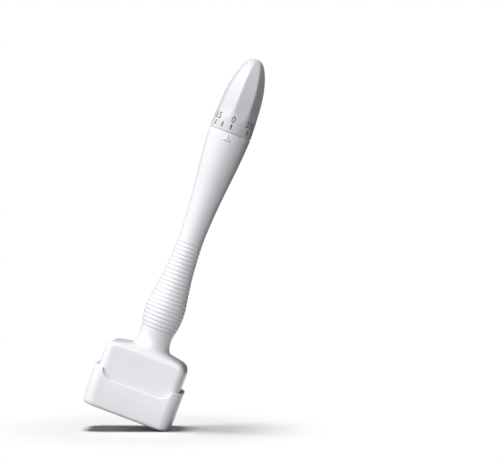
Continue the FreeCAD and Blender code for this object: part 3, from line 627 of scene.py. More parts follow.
@dataclass
class Cap:
    """The protective cap that the head stands in."""

    finish: MouldedPlastic
    corner: float = 5.2 * MM
    wall: float = 1.3 * MM
    draft: float = 0.3 * MM
    floor: float = 1.6 * MM
    ledge: float = 1.75 * MM
    foot_round: float = 1.8 * MM
    rim_round: float = 0.45 * MM
    rim_zone: float = 2.0 * MM
    lead: float = 0.25 * MM
    lead_drop: float = 1.2 * MM
    scoop_floor: float = 10.7 * MM
    scoop_corner: float = 5.2 * MM
    scoop_depth: float = 4.3 * MM
    scoop_end: float = 0.985
    rib_size: Pair = (1.0 * MM, 0.3 * MM)
    rib_spacing: float = 9.0 * MM
    rib_drop: float = 0.5 * MM
    body: str = "cap"

    def __post_init__(self) -> None:
        """Take the cap's box and the head's foot from the frame."""
        self.low, self.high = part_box("protective_cap")
        self.head_low, self.head_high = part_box("handle_shell")

    def scoop_drop(self, across: float) -> float:
        """Find how far the rim dips.

        Args:
            across: The distance from the middle of the front or back.

        Returns:
            The dip: the scoop's depth in its middle, and 0 beyond its corners.
        """
        beyond = abs(across) - self.scoop_floor
        if beyond <= 0.0:
            return self.scoop_depth
        if beyond >= self.scoop_corner * self.scoop_end:
            return 0.0
        rise = self.scoop_corner - math.sqrt(self.scoop_corner**2 - beyond**2)
        return max(self.scoop_depth - rise, 0.0)

    def blank(self) -> bmesh.types.BMesh:
        """Model the cap before its scoops are cut: a rounded box, hollowed in two steps.

        Returns:
            The mesh.
        """
        mesh = bmesh.new()
        plate = bmesh.ops.create_grid(mesh, x_segments=1, y_segments=1, size=0.5)["verts"]
        bmesh.ops.scale(mesh, verts=plate, vec=(self.high.x * 2, self.high.y * 2, 1.0))
        bmesh.ops.bevel(
            mesh, geom=plate, offset=self.corner, affect="VERTICES", segments=14, profile=0.5,
            material=-1,
        )
        mesh.faces.ensure_lookup_table()
        top = self.raised(mesh, mesh.faces[0], self.high.z)
        bmesh.ops.holes_fill(mesh, edges=boundary(mesh))
        share = [1.0 - self.draft / side for side in (self.high.x, self.high.y)]
        foot = [vert for vert in mesh.verts if vert.co.z < self.high.z / 2]
        bmesh.ops.scale(mesh, verts=foot, vec=(*share, 1.0))
        bmesh.ops.inset_region(mesh, faces=[top], thickness=self.wall, use_even_offset=True)
        lead = self.raised(mesh, top, self.high.z - self.lead_drop)
        inner = self.high.x - self.wall
        narrow = [1.0 - self.lead / side for side in (inner, self.high.y - self.wall)]
        bmesh.ops.scale(mesh, verts=lead.verts, vec=(*narrow, 1.0))
        shelf = self.raised(mesh, lead, self.head_low.z)
        bmesh.ops.inset_region(mesh, faces=[shelf], thickness=self.ledge, use_even_offset=True)
        self.raised(mesh, shelf, self.floor)
        bmesh.ops.recalc_face_normals(mesh, faces=mesh.faces)
        return mesh

    @staticmethod
    def raised(
        mesh: bmesh.types.BMesh, face: bmesh.types.BMFace, height: float
    ) -> bmesh.types.BMFace:
        """Extrude one face to a height.

        Args:
            mesh: The mesh that owns the face.
            face: The face.
            height: The height that it goes to.

        Returns:
            The face that the extrusion ends in.
        """
        made = bmesh.ops.extrude_discrete_faces(mesh, faces=[face])["faces"][0]
        for vert in made.verts:
            vert.co.z = height
        return made

    def rounded_edges(self, mesh: bmesh.types.BMesh, height: float, radius: float) -> None:
        """Round every sharp edge that lies at one height.

        Args:
            mesh: The mesh.
            height: The edges' height.
            radius: How far in the rounding starts.
        """
        edges = [
            edge for edge in mesh.edges
            if all(abs(vert.co.z - height) < 0.001 * MM for vert in edge.verts)
            and edge.calc_face_angle(0.0) > SHARP
        ]
        bmesh.ops.bevel(
            mesh, geom=edges, offset=radius, affect="EDGES", segments=4, profile=0.5,
            material=-1, clamp_overlap=False,
        )

    def ribs(self, mesh: bmesh.types.BMesh) -> None:
        """Add the four short ribs inside that grip the head.

        Args:
            mesh: The cap's mesh.
        """
        thick, deep = self.rib_size
        foot, top = self.head_low.z, self.high.z - self.scoop_depth - self.rib_drop
        inner = self.high.y - self.wall - self.lead
        for side in (-1.0, 1.0):
            for face in (-1.0, 1.0):
                rib = bmesh.ops.create_cube(mesh, size=1.0)["verts"]
                bmesh.ops.scale(mesh, verts=rib, vec=(thick, deep, top - foot))
                place = (side * self.rib_spacing, face * inner, (foot + top) / 2)
                bmesh.ops.translate(mesh, verts=rib, vec=place)

    def build(self) -> bpy.types.Object:
        """Model the cap and put it on its body.

        Returns:
            The cap.
        """
        mesh = self.blank()
        self.rounded_edges(mesh, 0.0, self.foot_round)
        self.rounded_edges(mesh, self.high.z, self.rim_round)
        bends = [math.sin(math.radians(k)) for k in range(6, 84, 6)]
        stops = [self.scoop_floor + self.scoop_corner * bend for bend in bends]
        stops += [self.scoop_floor * k / 6 for k in range(1, 7)]
        cut_across(mesh, ACROSS, [stop * side for stop in stops for side in (-1, 1)])
        for vert in mesh.verts:
            if vert.co.z > self.high.z - self.rim_zone:
                vert.co.z -= self.scoop_drop(vert.co.x)
        self.ribs(mesh)
        made = finished(mesh, "cap_shell", self.finish.material())
        return seated(made, self.body, "cap_plastic", "protective_cap")


@dataclass
class Handle:
    """The handle: turned body with a ribbed grip, and the hollow needle head."""

    colour: Colour
    columns: int = 224
    head_corner: float = 3.4 * MM
    head_wall: float = 1.6 * MM
    shoulder: float = 28.76 * MM
    neck: Pair = (8.55 * MM, 31.1 * MM)
    neck_top: float = 31.75 * MM
    fold_angles: Pair = (14.0, 44.0)
    fold_in: float = 0.12 * MM
    fold_up: float = 0.05 * MM
    side_round: float = 4.55 * MM
    side_rise: float = 9.0 * MM
    roof_share: float = 0.48
    neck_share: float = 0.12
    face_round: float = 2.0 * MM
    foot_round: float = 0.3 * MM
    rim_round: float = 0.25 * MM
    groove_low: float = 39.6 * MM
    groove_pitch: float = 1.77 * MM
    groove_count: int = 23
    groove_depth: float = 0.21 * MM
    rib_power: float = 0.8
    spring_bore: float = 4.1 * MM
    rod_bore: float = 2.6 * MM
    cavity_roof: float = 24.6 * MM
    sleeve_floor_drop: float = 4.5 * MM
    line: tuple[Pair, ...] = (
        (8.2, 31.4), (7.11, 33.6), (6.99, 36.0), (7.09, 38.6), (8.13, 41.6), (8.57, 46.0),
        (8.54, 50.5), (7.7, 55.0), (7.0, 60.0), (6.15, 66.0), (5.79, 73.0), (5.21, 81.0),
        (5.7, 90.0), (6.47, 100.0), (7.59, 110.0), (8.69, 120.0), (9.23, 129.25),
    )
    body: str = "handle"

    def __post_init__(self) -> None:
        """Take the head, the rim and the bores from the frame."""
        self.low, self.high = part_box("handle_shell")
        self.sleeve_low, self.sleeve_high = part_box("bearing_sleeve")
        self.bush_low, self.bush_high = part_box("guide_bush")
        self.spring_low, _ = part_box("return_spring")
        self.outer = SmoothLine(tuple((r * MM, h * MM) for r, h in self.line))

    def plastic(self) -> RibbedPlastic:
        """The handle's finish, which follows its ribs."""
        last = self.groove_low + self.groove_pitch * (self.groove_count - 1)
        grip = (self.groove_low, last, self.groove_pitch)
        return RibbedPlastic("handle_plastic", self.colour, *grip)

    def groove(self, height: float) -> float:
        """Find how deep the grip is cut: sharp grooves between round ribs.

        Args:
            height: The height, in metres.

        Returns:
            The depth, 0 outside the grip.
        """
        along = (height - self.groove_low) / self.groove_pitch
        if not -0.5 <= along <= self.groove_count - 0.5:
            return 0.0
        rib = abs(math.sin(math.pi * along)) ** self.rib_power
        return self.groove_depth * (1.0 - rib)

    def radius(self, height: float) -> float:
        """The handle's radius at a height."""
        return self.outer.radius(height) - self.groove(height)

    def outline(self) -> list[Pair]:
        """Set out the turned part: up the outside, over the rim and down through the bores.

        Returns:
            Radii and heights, in metres.
        """
        line, rim, soft = self.outer, self.high.z, self.rim_round
        low = self.groove_low - self.groove_pitch / 2
        high = low + self.groove_count * self.groove_pitch
        start, grip_start = line.share_at(self.neck_top), line.share_at(low)
        foot = [line.at(start + (grip_start - start) * k / 14) for k in range(14)]
        grip_rows = 10 * self.groove_count
        heights = [low + (high - low) * k / grip_rows for k in range(grip_rows + 1)]
        grip = [(self.radius(height), height) for height in heights]
        up, end = line.share_at(high), line.share_at(rim - soft)
        barrel = [line.at(up + (end - up) * k / 44) for k in range(1, 44)]
        edge = soft_corner(
            (line.radius(rim - soft), rim - soft), (line.radius(rim), rim),
            (line.radius(rim) - soft, rim),
        )
        sleeve, floor = self.sleeve_high.x, self.sleeve_low.z - self.sleeve_floor_drop
        shelf, bush = self.spring_low.z, self.bush_high.x
        bores = [
            (sleeve, rim), (sleeve, floor), (self.spring_bore, floor), (self.spring_bore, shelf),
            (self.rod_bore, shelf), (self.rod_bore, self.bush_high.z), (bush, self.bush_high.z),
            (bush, self.cavity_roof),
        ]
        return foot + grip + barrel + edge + bores

    def shoulder_ring(self, row: float) -> Ring:
        """Make the rule for one ring of the shoulders.

        Args:
            row: The ring's place, from the neck at 0 over the edge at 1 to the side at 2.

        Returns:
            The rule, which gives a point for each turn about the Z axis.
        """
        half = (self.high.x, self.high.y)

        def place(turn: float) -> Vector:
            """Find the ring's point.

            Args:
                turn: The turn about the Z axis, in radians.

            Returns:
                The point.
            """
            edge = rounded_rectangle(turn, half, self.head_corner)
            corner = Vector((edge.x, edge.y, self.shoulder))
            radius, height = self.neck
            neck = Vector((radius * math.cos(turn), radius * math.sin(turn), height))
            fold = abs(math.remainder(turn, math.pi))
            share = 1.0 - ease(math.degrees(fold), *self.fold_angles)
            reach = self.face_round + (self.side_round - self.face_round) * share
            slope = neck - corner
            roof = corner + slope.normalized() * min(reach, slope.length * self.roof_share)
            side = corner - Vector((0.0, 0.0, reach))
            if row <= 1.0:
                inner = neck + (roof - neck) * self.neck_share
                return inner.lerp(roof, row)
            t = row - 1.0
            return roof.lerp(corner, t).lerp(corner.lerp(side, t), t)

        return place

    @staticmethod
    def level_ring(half: Pair, corner: float, height: float) -> Ring:
        """Make the rule for a level ring on a rounded rectangle.

        Args:
            half: Half of the rectangle's width and of its depth.
            corner: The radius of its corners.
            height: The ring's height.

        Returns:
            The rule, which gives a point for each turn about the Z axis.
        """
        def place(turn: float) -> Vector:
            """The ring's point at a turn about the Z axis."""
            return Vector((*rounded_rectangle(turn, half, corner), height))

        return place

    def neck_ring(self, share: float) -> Ring:
        """Make the rule for one ring of the soft fold between the neck and the shoulders.

        Args:
            share: The ring's place, from the neck at 0 to the shoulders at 1.

        Returns:
            The rule, which gives a point for each turn about the Z axis.
        """
        roof = self.shoulder_ring(0.0)
        start, height = self.outer.at(self.outer.share_at(self.neck_top))
        fold, fold_height = self.neck[0] - self.fold_in, self.neck[1] + self.fold_up

        def place(turn: float) -> Vector:
            """Find the ring's point.

            Args:
                turn: The turn about the Z axis, in radians.

            Returns:
                The point.
            """
            out = Vector((math.cos(turn), math.sin(turn), 0.0))
            top = out * start + Vector((0.0, 0.0, height))
            middle = out * fold + Vector((0.0, 0.0, fold_height))
            return top.lerp(middle, share).lerp(middle.lerp(roof(turn), share), share)

        return place

    def add_head(self, mesh: bmesh.types.BMesh) -> None:
        """Draw the head's rings out of the neck, down the outside and back up the inside.

        Args:
            mesh: The turned part, open at the neck and round the cavity's roof.
        """
        turn = mesh.verts.layers.float.new("turn")
        for vert in mesh.verts:
            vert[turn] = math.atan2(vert.co.y, vert.co.x)
        middle = (self.cavity_roof + self.neck_top) / 2
        neck = [edge for edge in boundary(mesh) if edge.verts[0].co.z > middle]
        roof = [edge for edge in boundary(mesh) if edge.verts[0].co.z < middle]
        half, corner, soft = (self.high.x, self.high.y), self.head_corner, self.foot_round
        inner = tuple(side - self.head_wall for side in half)
        inner_corner = corner - self.head_wall
        rules = [self.neck_ring(k / 4) for k in range(1, 5)]
        rules += [self.shoulder_ring(k / 6) for k in range(1, 7)]
        rules += [self.shoulder_ring(1.0 + k / 9) for k in range(1, 10)]
        levels = (self.low.z + self.side_rise, self.low.z + soft)
        rules += [self.level_ring(half, corner, height) for height in levels]
        for k in range(1, 4):
            bend = math.radians(30.0 * k)
            inset = soft * (1.0 - math.cos(bend))
            smaller = tuple(side - inset for side in half)
            height = self.low.z + soft * (1.0 - math.sin(bend))
            rules.append(self.level_ring(smaller, corner - inset, height))
        rules += [
            self.level_ring(inner, inner_corner, height)
            for height in (self.low.z, (self.low.z + self.cavity_roof) / 2, self.cavity_roof)
        ]
        ring = neck
        for rule in rules:
            ring = drawn_on(mesh, ring, rule)
        bmesh.ops.bridge_loops(mesh, edges=ring + roof)

    def build(self) -> bpy.types.Object:
        """Model the handle and put it on its body.

        Returns:
            The handle.
        """
        mesh = spun(self.outline(), self.columns)
        self.add_head(mesh)
        made = finished(mesh, "handle_body", self.plastic().material())
        return seated(made, self.body, "handle_plastic", "handle_shell")


@dataclass
class Pointer:
    """The small raised triangle on the handle that the scale is read against."""

    handle: Handle
    finish: MouldedPlastic
    width: float = 3.7 * MM
    height: float = 3.1 * MM
    drop: float = 0.45 * MM
    rise: float = 0.36 * MM
    sink: float = 0.1 * MM
    soft: float = 0.34 * MM

    def build(self) -> bpy.types.Object:
        """Model the triangle flat, then lay it on the handle.

        Returns:
            The pointer.
        """
        mesh = bmesh.new()
        half, apex = self.width / 2, self.handle.high.z - self.drop
        corners = [(0.0, apex), (-half, apex - self.height), (half, apex - self.height)]
        face = mesh.faces.new([mesh.verts.new((x, y, -self.sink)) for x, y in corners])
        raised = bmesh.ops.extrude_discrete_faces(mesh, faces=[face])["faces"][0]
        bmesh.ops.holes_fill(mesh, edges=boundary(mesh))
        for vert in raised.verts:
            vert.co.z = self.rise
        bmesh.ops.bevel(
            mesh, geom=list(raised.edges), offset=self.soft, affect="EDGES", segments=2,
            profile=0.5, material=-1,
        )
        cut_across(mesh, ACROSS, [half * k / 6 for k in range(-5, 6)])
        for vert in mesh.verts:
            radius = self.handle.radius(vert.co.y)
            turn = FRONT + vert.co.x / radius
            out = radius + vert.co.z
            vert.co = (out * math.cos(turn), out * math.sin(turn), vert.co.y)
        made = finished(mesh, "pointer", self.finish.material(), 25.0)
        return seated(made, self.handle.body, "handle_plastic")


@dataclass
class Knob:
    """The depth knob: a bullet-shaped cover with eight facets."""

    finish: MouldedPlastic
    columns: int = 384
    rim_round: float = 0.2 * MM
    skin_depth: float = 0.24 * MM
    facets: int = 8
    facet_phase: float = 14.5
    facet_ratio: float = 0.93
    facet_soft: float = 0.2 * MM
    facet_fade: float = 0.25 * MM
    hollow: float = 4.4 * MM
    hollow_rise: float = 18.5 * MM
    lip: Pair = (8.35 * MM, 8.85 * MM)
    lip_drop: float = 0.31 * MM
    line: tuple[Pair, ...] = (
        (9.15, 0.0), (9.06, 7.07), (8.98, 15.1), (7.25, 24.1), (5.04, 29.85), (2.52, 33.4),
        (0.0, 33.4),
    )
    facet_start: Pair = (9.4, 4.0)
    facet_rise: float = 0.2
    facet_spread: float = 0.05
    body: str = "knob"

    def __post_init__(self) -> None:
        """Take the seam and the nut from the frame, and set out both lines."""
        self.low, self.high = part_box("knob_shell")
        self.nut_low, self.nut_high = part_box("drive_nut")
        seam = self.low.z
        crown = self.line[-1][1] + self.facet_rise
        middle = [(r * self.facet_ratio, h) for r, h in self.line[1:-2]]
        facet = [self.facet_start, *middle, (self.line[-2][0], crown), (0.0, crown)]
        self.outer = SmoothLine(tuple((r * MM, seam + h * MM) for r, h in self.line))
        self.flat = SmoothLine(tuple((r * MM, seam + h * MM) for r, h in facet))

    def flat_distance(self, height: float) -> float:
        """Find how far the facets stand from the axis.

        Args:
            height: The height, in metres.

        Returns:
            The distance, which is past the round wall below the facets' start.
        """
        start = self.low.z + self.facet_start[1] * MM
        if height < start:
            return self.facet_start[0] * MM + (start - height) * self.facet_spread
        return self.flat.radius(height)

    def pressed(self, turn: float, height: float, radius: float) -> float:
        """Draw a round radius in to the facets.

        Args:
            turn: The turn about the axis, in radians.
            height: The height, in metres.
            radius: The round radius there.

        Returns:
            The radius with the facets pressed in.
        """
        step = math.radians(360.0 / self.facets)
        off = math.remainder(turn - math.radians(self.facet_phase), step)
        reach = self.flat_distance(height)
        nearest = reach / math.cos(off)
        following = reach / math.cos(step - abs(off))
        facets = softly_smaller(nearest, following, self.facet_soft)
        return softly_smaller(radius, facets, self.facet_fade)

    def surface(self, turn: float, height: float) -> float:
        """The knob's radius at a turn and a height."""
        return self.pressed(turn, height, self.outer.radius(height))

    def outline(self) -> list[Pair]:
        """Set out the knob before its facets: out of the hollow, under the rim and up to the tip.

        Returns:
            Radii and heights, in metres.
        """
        seam, soft = self.low.z, self.rim_round
        nut, nut_top = self.nut_high.x, self.nut_high.z
        rim = self.outer.radius(seam)
        inside = [
            (0.0, seam + self.hollow_rise), (self.hollow, seam + self.hollow_rise),
            (self.hollow, nut_top), (nut, nut_top), (nut, seam), (self.lip[0], seam),
            (self.lip[0], seam - self.lip_drop), (self.lip[1], seam - self.lip_drop),
            (self.lip[1], seam),
        ]
        above = (self.outer.radius(seam + soft), seam + soft)
        edge = soft_corner((rim - soft, seam), (rim, seam), above)
        start = self.outer.share_at(seam + soft)
        wall = [self.outer.at(start + (1.0 - start) * k / 110) for k in range(1, 111)]
        return inside + edge + wall

    def build(self) -> bpy.types.Object:
        """Model the knob and put it on its body.

        Returns:
            The knob.
        """
        mesh = spun(self.outline(), self.columns)
        phase = math.radians(self.facet_phase + 180.0 / self.facets)
        bmesh.ops.rotate(mesh, verts=mesh.verts, matrix=Matrix.Rotation(phase, 3, "Z"))
        for vert in mesh.verts:
            radius = vert.co.xy.length
            skin = self.outer.radius(vert.co.z) - self.skin_depth
            if vert.co.z >= self.low.z and radius > max(skin, 0.1 * MM):
                turn = math.atan2(vert.co.y, vert.co.x)
                vert.co.xy *= self.pressed(turn, vert.co.z, radius) / radius
        made = finished(mesh, "knob_cover", self.finish.material(), 30.0)
        return seated(made, self.body, "knob_plastic", "knob_shell")


@dataclass
class Scale:
    """The printed depth scale: a tick for each quarter millimetre and a number for each half."""

    knob: Knob
    ink: PrintedInk
    step: float = 0.25
    ticks: int = 13
    positions: int = 14
    tick_size: Pair = (0.6 * MM, 2.2 * MM)
    tick_rise: float = 1.3 * MM
    figure_height: float = 2.8 * MM
    figure_narrow: float = 0.92
    figure_rise: float = 4.3 * MM
    film: float = 0.02 * MM
    grain: float = 0.3 * MM
    pieces: list[bpy.types.Object] = field(default_factory=list)

    def turn(self, index: int) -> float:
        """The turn about the axis at which a tick stands."""
        return FRONT - index * math.radians(360.0 / self.positions)

    def laid_on(
        self, mesh: bmesh.types.BMesh, turn: float, name: str, material: bpy.types.Material
    ) -> None:
        """Lay a flat print on the knob.

        Args:
            mesh: The print, flat, across and up from its foot.
            turn: The turn about the axis at which its middle stands.
            name: The piece's name.
            material: The ink.
        """
        ups = [vert.co.y for vert in mesh.verts]
        wide = max(abs(vert.co.x) for vert in mesh.verts)
        steps = int(wide / self.grain) + 1
        cut_across(mesh, ACROSS, [k * self.grain for k in range(-steps, steps + 1)])
        foot, rows = min(ups), int((max(ups) - min(ups)) / self.grain) + 1
        cut_across(mesh, ALONG, [foot + k * self.grain for k in range(1, rows)])
        seam = self.knob.low.z
        for vert in mesh.verts:
            height = seam + vert.co.y
            middle = self.knob.surface(turn, height)
            at = turn + vert.co.x / middle
            out = self.knob.surface(at, height) + self.film
            vert.co = (out * math.cos(at), out * math.sin(at), height)
        made = finished(mesh, name, material)
        self.face_outwards(made)
        self.pieces.append(seated(made, self.knob.body, "knob_plastic"))

    @staticmethod
    def face_outwards(piece: bpy.types.Object) -> None:
        """Flip a thin print whose faces look at the axis.

        Args:
            piece: The print.
        """
        face = piece.data.polygons[0]
        if face.normal.xy.dot(face.center.xy) < 0.0:
            piece.data.flip_normals()

    def tick(self) -> bmesh.types.BMesh:
        """Draw one tick, flat.

        Returns:
            The tick's mesh, across and up from the knob's foot.
        """
        mesh = bmesh.new()
        made = bmesh.ops.create_grid(mesh, x_segments=2, y_segments=6, size=0.5)["verts"]
        bmesh.ops.scale(mesh, verts=made, vec=(*self.tick_size, 1.0))
        middle = self.tick_rise + self.tick_size[1] / 2
        bmesh.ops.translate(mesh, verts=made, vec=ALONG * middle)
        return mesh

    def figure(self, words: str) -> bmesh.types.BMesh:
        """Draw one number, flat, in Blender's own plain letters.

        Args:
            words: The number.

        Returns:
            The number's mesh, across and up from the knob's foot.
        """
        curve = bpy.data.curves.new("figure", "FONT")
        curve.body, curve.align_x, curve.resolution_u = words, "CENTER", 6
        text = linked("figure", curve)
        bpy.context.view_layer.update()
        data = text.evaluated_get(bpy.context.evaluated_depsgraph_get()).to_mesh()
        mesh = bmesh.new()
        mesh.from_mesh(data)
        bpy.data.objects.remove(text)
        bmesh.ops.remove_doubles(mesh, verts=mesh.verts, dist=0.0001)
        low = min(vert.co.y for vert in mesh.verts)
        high = max(vert.co.y for vert in mesh.verts)
        size = self.figure_height / (high - low)
        bmesh.ops.translate(mesh, verts=mesh.verts, vec=ALONG * -low)
        bmesh.ops.scale(mesh, verts=mesh.verts, vec=(size * self.figure_narrow, size, 0.0))
        bmesh.ops.translate(mesh, verts=mesh.verts, vec=ALONG * self.figure_rise)
        return mesh

    def build(self) -> list[bpy.types.Object]:
        """Print every tick and number.

        Returns:
            The prints.
        """
        ink = self.ink.material()
        for index in range(self.ticks):
            turn = self.turn(index)
            self.laid_on(self.tick(), turn, f"scale_tick_{index:02d}", ink)
            if index % 2 == 0:
                depth = index * self.step
                words = "0" if index == 0 else f"{depth:.1f}"
                self.laid_on(self.figure(words), turn, f"scale_figure_{index:02d}", ink)
        return self.pieces


@dataclass
class Works:
    """The CAD pieces that keep their shapes: needles, carriage, spring, rod, nut and bearing."""

    finishes: dict[str, Surface]

    def dress(self) -> None:
        """Give each of them its material."""
        made = {}
        for node, finish in self.finishes.items():
            if finish.name not in made:
                made[finish.name] = finish.material()
            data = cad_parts[node].data
            data.materials.clear()
            data.materials.append(made[finish.name])
            LOG.info("%s: %s", node, finish.name)


def seated(piece: bpy.types.Object, body: str, slot: str, *nodes: str) -> bpy.types.Object:
    """Put a piece on its body.

    Args:
        piece: The piece, already in place.
        body: The CAD body that it rides on.
        slot: The name of a material slot; not used.
        *nodes: The CAD nodes that it stands for.

    Returns:
        The piece.
    """
    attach(piece, body)
    if nodes:
        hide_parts(*nodes)
    LOG.info("%s rides on %s, %d faces", piece.name, body, len(piece.data.polygons))
    return piece


# ------------------------------------------------------------------------------------------- stage

@dataclass(frozen=True)
class Lamp:
    """A square soft lamp aimed at the middle of the object.

    Turns are in degrees from the front, positive to the right; rises in degrees above the floor.
    """

    name: str
    turn: float
    rise: float
    power: float
    size: float = 0.85
    reach: float = 1.4
    floor_only: bool = False


@dataclass
class Stage:
    """The floor, the light and the camera.  The stamp leans, so floor and camera lean with it."""

    lean: float = 20.2
    camera_turn: float = 3.5
    distance: float = 0.95
    lens: float = 159.3
    aim: tuple[float, float, float] = (0.0225, 0.0, 0.093)
    lamps: tuple[Lamp, ...] = (
        Lamp("side_lamp", -65.0, 46.0, 12.8),
        Lamp("front_lamp", -15.0, 37.0, 14.8),
        Lamp("top_lamp", -90.0, 86.0, 19.5, size=0.5, floor_only=True),
    )
    lamp_colour: Colour = (0.99, 0.99, 1.0)
    world_level: float = 0.1
    floor_radius: float = 0.26
    floor_tone: float = 0.92
    floor_bounce: float = 0.45
    floor_wash: Pair = (0.03, 0.08)
    floor_touch: Pair = (18.9 * MM, 0.75 * MM)
    floor_shift: float = 7.0 * MM
    flags: tuple[tuple[str, float, float], ...] = (
        ("right_flag", 138.0, 0.7), ("left_flag", -160.0, 0.3),
    )
    flag_reach: float = 0.4
    flag_height: float = 0.7

    def up(self) -> Vector:
        """The floor's upward direction."""
        lean = math.radians(self.lean)
        return Vector((-math.sin(lean), 0.0, math.cos(lean)))

    def direction(self, turn: float, rise: float) -> Vector:
        """Find a direction over the floor.

        Args:
            turn: Its turn from the front, in degrees, positive to the right.
            rise: Its rise above the floor, in degrees.

        Returns:
            The direction, of length 1.
        """
        a, b = math.radians(turn), math.radians(rise)
        up = self.up()
        right = Vector((up.z, 0.0, -up.x))
        level = right * math.sin(a) - ALONG * math.cos(a)
        return level * math.cos(b) + up * math.sin(b)

    @staticmethod
    def middle() -> Vector:
        """The middle of the object."""
        low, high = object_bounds()
        return (low + high) / 2

    def place_camera(self) -> None:
        """Set the camera level with the knob's seam, turned a little to the right."""
        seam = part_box("knob_shell")[0].z
        turn = math.radians(self.camera_turn)
        back = Vector((math.sin(turn), -math.cos(turn), 0.0)) * self.distance
        place = back + Vector((0.0, 0.0, seam))
        ahead = (Vector(self.aim) - place).normalized()
        level = ahead.cross(Vector((0.0, 0.0, 1.0))).normalized()
        raised = level.cross(ahead)
        lean = math.radians(self.lean)
        right = level * math.cos(lean) + raised * math.sin(lean)
        top = raised * math.cos(lean) - level * math.sin(lean)
        data = bpy.data.cameras.new("camera")
        data.lens, data.sensor_width, data.clip_end = self.lens, 36.0, 20.0
        camera = linked("camera", data)
        turned = Matrix((right, top, -ahead)).transposed().to_4x4()
        camera.matrix_world = Matrix.Translation(place) @ turned
        bpy.context.scene.camera = camera

    def floor_material(self) -> bpy.types.Material:
        """Make white paper that fades out into the backdrop, and is clear from below.

        Returns:
            The material.
        """
        made = bpy.data.materials.new("floor_paper")
        graph = Graph(made)
        place = graph.node("ShaderNodeTexCoord", {}, {}, "Object")
        reach = graph.node("ShaderNodeVectorMath", {"operation": "LENGTH"}, {0: place}, "Value")
        grain = graph.noise(0.6 * MM, 2.0, place)
        pale, dim = (
            graph.node("ShaderNodeBsdfDiffuse", {}, {
                "Color": graph.mix(grain, shade((tone,) * 3, 0.98), shade((tone,) * 3)),
            })
            for tone in (self.floor_tone, self.floor_bounce)
        )
        paper = graph.node("ShaderNodeMixShader", {}, {0: graph.seen(), 1: dim, 2: pale})
        white = graph.node("ShaderNodeEmission", {}, {"Color": (1.0, 1.0, 1.0, 1.0)})
        washed = graph.seen() * reach.ramp(*self.floor_wash)
        lit = graph.node("ShaderNodeMixShader", {}, {0: washed, 1: paper, 2: white})
        clear = graph.node("ShaderNodeBsdfTransparent", {}, {})
        below = graph.node("ShaderNodeNewGeometry", {}, {}, "Backfacing")
        gone = reach.ramp(self.floor_radius * 0.6, self.floor_radius * 0.98).maximum(below)
        graph.surface(graph.node("ShaderNodeMixShader", {}, {0: gone, 1: lit, 2: clear}))
        return made

    @staticmethod
    def card(
        mesh: bmesh.types.BMesh, name: str, material: bpy.types.Material
    ) -> bpy.types.Object:
        """Turn a flat bmesh into a piece of the stage.

        Args:
            mesh: The bmesh, which is freed.
            name: The piece's name.
            material: Its material.

        Returns:
            The piece, at the origin.
        """
        data = bpy.data.meshes.new(name)
        mesh.to_mesh(data)
        mesh.free()
        data.materials.append(material)
        made = linked(name, data)
        made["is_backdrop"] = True
        return made

    def place_floor(self) -> bpy.types.Object:
        """Lay the floor under the corner of the cap that the stamp leans on.

        Returns:
            The floor.
        """
        mesh = bmesh.new()
        bmesh.ops.create_circle(mesh, cap_ends=True, segments=96, radius=self.floor_radius)
        floor = self.card(mesh, "floor", self.floor_material())
        across, up = self.floor_touch
        turned = self.up().to_track_quat("Z", "Y").to_matrix().to_4x4()
        left = self.direction(-90.0, 0.0) * self.floor_shift
        floor.matrix_world = Matrix.Translation(Vector((across, 0.0, up)) + left) @ turned
        return floor

    def light_world(self) -> None:
        """Set a white backdrop that lights the object only softly."""
        world = bpy.data.worlds.new("studio")
        bpy.context.scene.world = world
        graph = Graph(world)
        inputs = {"Color": (0.98, 0.985, 1.0, 1.0), "Strength": self.world_level}
        soft = graph.node("ShaderNodeBackground", {}, inputs)
        bright = graph.node("ShaderNodeBackground", {}, {"Color": (1.0, 1.0, 1.0, 1.0)})
        mixed = graph.node("ShaderNodeMixShader", {}, {0: graph.seen(), 1: soft, 2: bright})
        graph.node("ShaderNodeOutputWorld", {}, {"Surface": mixed})

    def place_lamp(self, lamp: Lamp, floor: bpy.types.Object) -> None:
        """Hang one lamp, which lights either the floor alone or everything else.

        Args:
            lamp: The lamp.
            floor: The floor.
        """
        out = self.direction(lamp.turn, lamp.rise)
        data = bpy.data.lights.new(lamp.name, "AREA")
        data.shape, data.size, data.energy = "SQUARE", lamp.size, lamp.power
        data.color = self.lamp_colour
        made = linked(lamp.name, data)
        made.location = self.middle() + out * lamp.reach
        made.rotation_mode = "QUATERNION"
        made.rotation_quaternion = (-out).to_track_quat("-Z", "Y")
        lit = bpy.data.collections.new(lamp.name)
        lit.objects.link(floor)
        state = "INCLUDE" if lamp.floor_only else "EXCLUDE"
        lit.collection_objects[0].light_linking.link_state = state
        made.light_linking.receiver_collection = lit

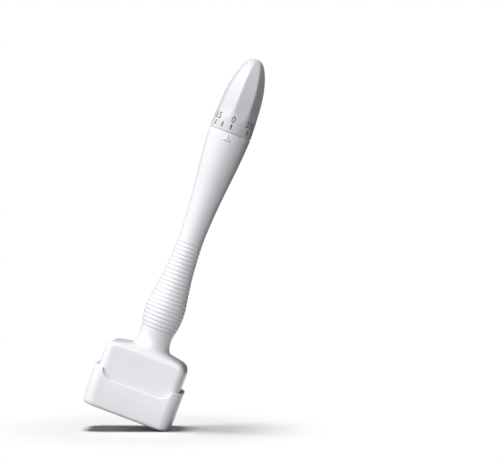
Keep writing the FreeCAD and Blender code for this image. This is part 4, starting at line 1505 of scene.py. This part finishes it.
    def place_flag(self, name: str, turn: float, width: float) -> None:
        """Stand a dark card behind the object, which only reflections see.

        Args:
            name: The card's name.
            turn: Its direction from the front, in degrees, positive to the right.
            width: Its width, in metres.
        """
        made = bpy.data.materials.new(name)
        graph = Graph(made)
        tone = graph.mix(graph.noise(8.0 * MM), (0.02, 0.02, 0.02, 1.0), (0.03, 0.03, 0.03, 1.0))
        graph.surface(graph.node("ShaderNodeBsdfDiffuse", {}, {"Color": tone}))
        mesh = bmesh.new()
        bmesh.ops.create_grid(mesh, x_segments=1, y_segments=1, size=0.5)
        flag = self.card(mesh, name, made)
        out = self.direction(turn, 0.0)
        turned = out.to_track_quat("Z", "Y").to_matrix().to_4x4()
        place = Matrix.Translation(self.middle() + out * self.flag_reach)
        flag.matrix_world = place @ turned @ Matrix.Diagonal((width, self.flag_height, 1.0, 1.0))
        flag.visible_camera = flag.visible_diffuse = flag.visible_shadow = False

    def build(self) -> None:
        """Set up the whole stage."""
        bpy.context.scene.view_settings.view_transform = "Standard"
        self.light_world()
        floor = self.place_floor()
        for lamp in self.lamps:
            self.place_lamp(lamp, floor)
        for flag in self.flags:
            self.place_flag(*flag)
        self.place_camera()


WHITE = (0.84, 0.846, 0.87)
SATIN = (0.665, 0.67, 0.69)
NATURAL = (0.72, 0.72, 0.69)
DRAWN = Steel("needle_steel", Finish.DRAWN, roughness=0.16)
SPRING = Steel("spring_steel", Finish.POLISHED, (0.5, 0.5, 0.51), 0.28)
TURNED = Steel("rod_steel", Finish.TURNED, roughness=0.24)
HARD = Steel("hard_steel", Finish.POLISHED, (0.7, 0.7, 0.72), 0.1)
BEARING = MouldedPlastic("bearing_plastic", NATURAL, roughness=0.4, coat=0.0)
PLATE = MouldedPlastic("plate_plastic", (0.78, 0.79, 0.8), roughness=0.36, coat=0.05)
WORKS = {
    "needle_guide_plate": PLATE, "needle_backing_plate": PLATE, "needle_block": PLATE,
    "needles": DRAWN, "guide_bush": BEARING, "bearing_sleeve": BEARING, "drive_nut": BEARING,
    "carriage_yoke": BEARING, "return_spring": SPRING, "click_spring": SPRING,
    "knob_clip": SPRING, "spring_seat_clip": SPRING, "click_ball": HARD, "yoke_pin": HARD,
    "push_rod": TURNED, "carriage_screw_left": TURNED, "carriage_screw_right": TURNED,
    "knob_seal": Rubber("seal_rubber"),
}


def main() -> None:
    """Build every piece and the stage."""
    logging.basicConfig(level=logging.INFO, format="%(message)s")
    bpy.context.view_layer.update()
    handle = Handle(WHITE)
    knob = Knob(MouldedPlastic("knob_plastic", SATIN, roughness=0.42, coat=0.04))
    Cap(MouldedPlastic("cap_plastic", WHITE)).build()
    handle.build()
    Pointer(handle, MouldedPlastic("pointer_plastic", WHITE)).build()
    knob.build()
    Scale(knob, PrintedInk("scale_ink", (0.018, 0.018, 0.022))).build()
    Works(WORKS).dress()
    Stage().build()


if __name__ == "__main__":
    main()
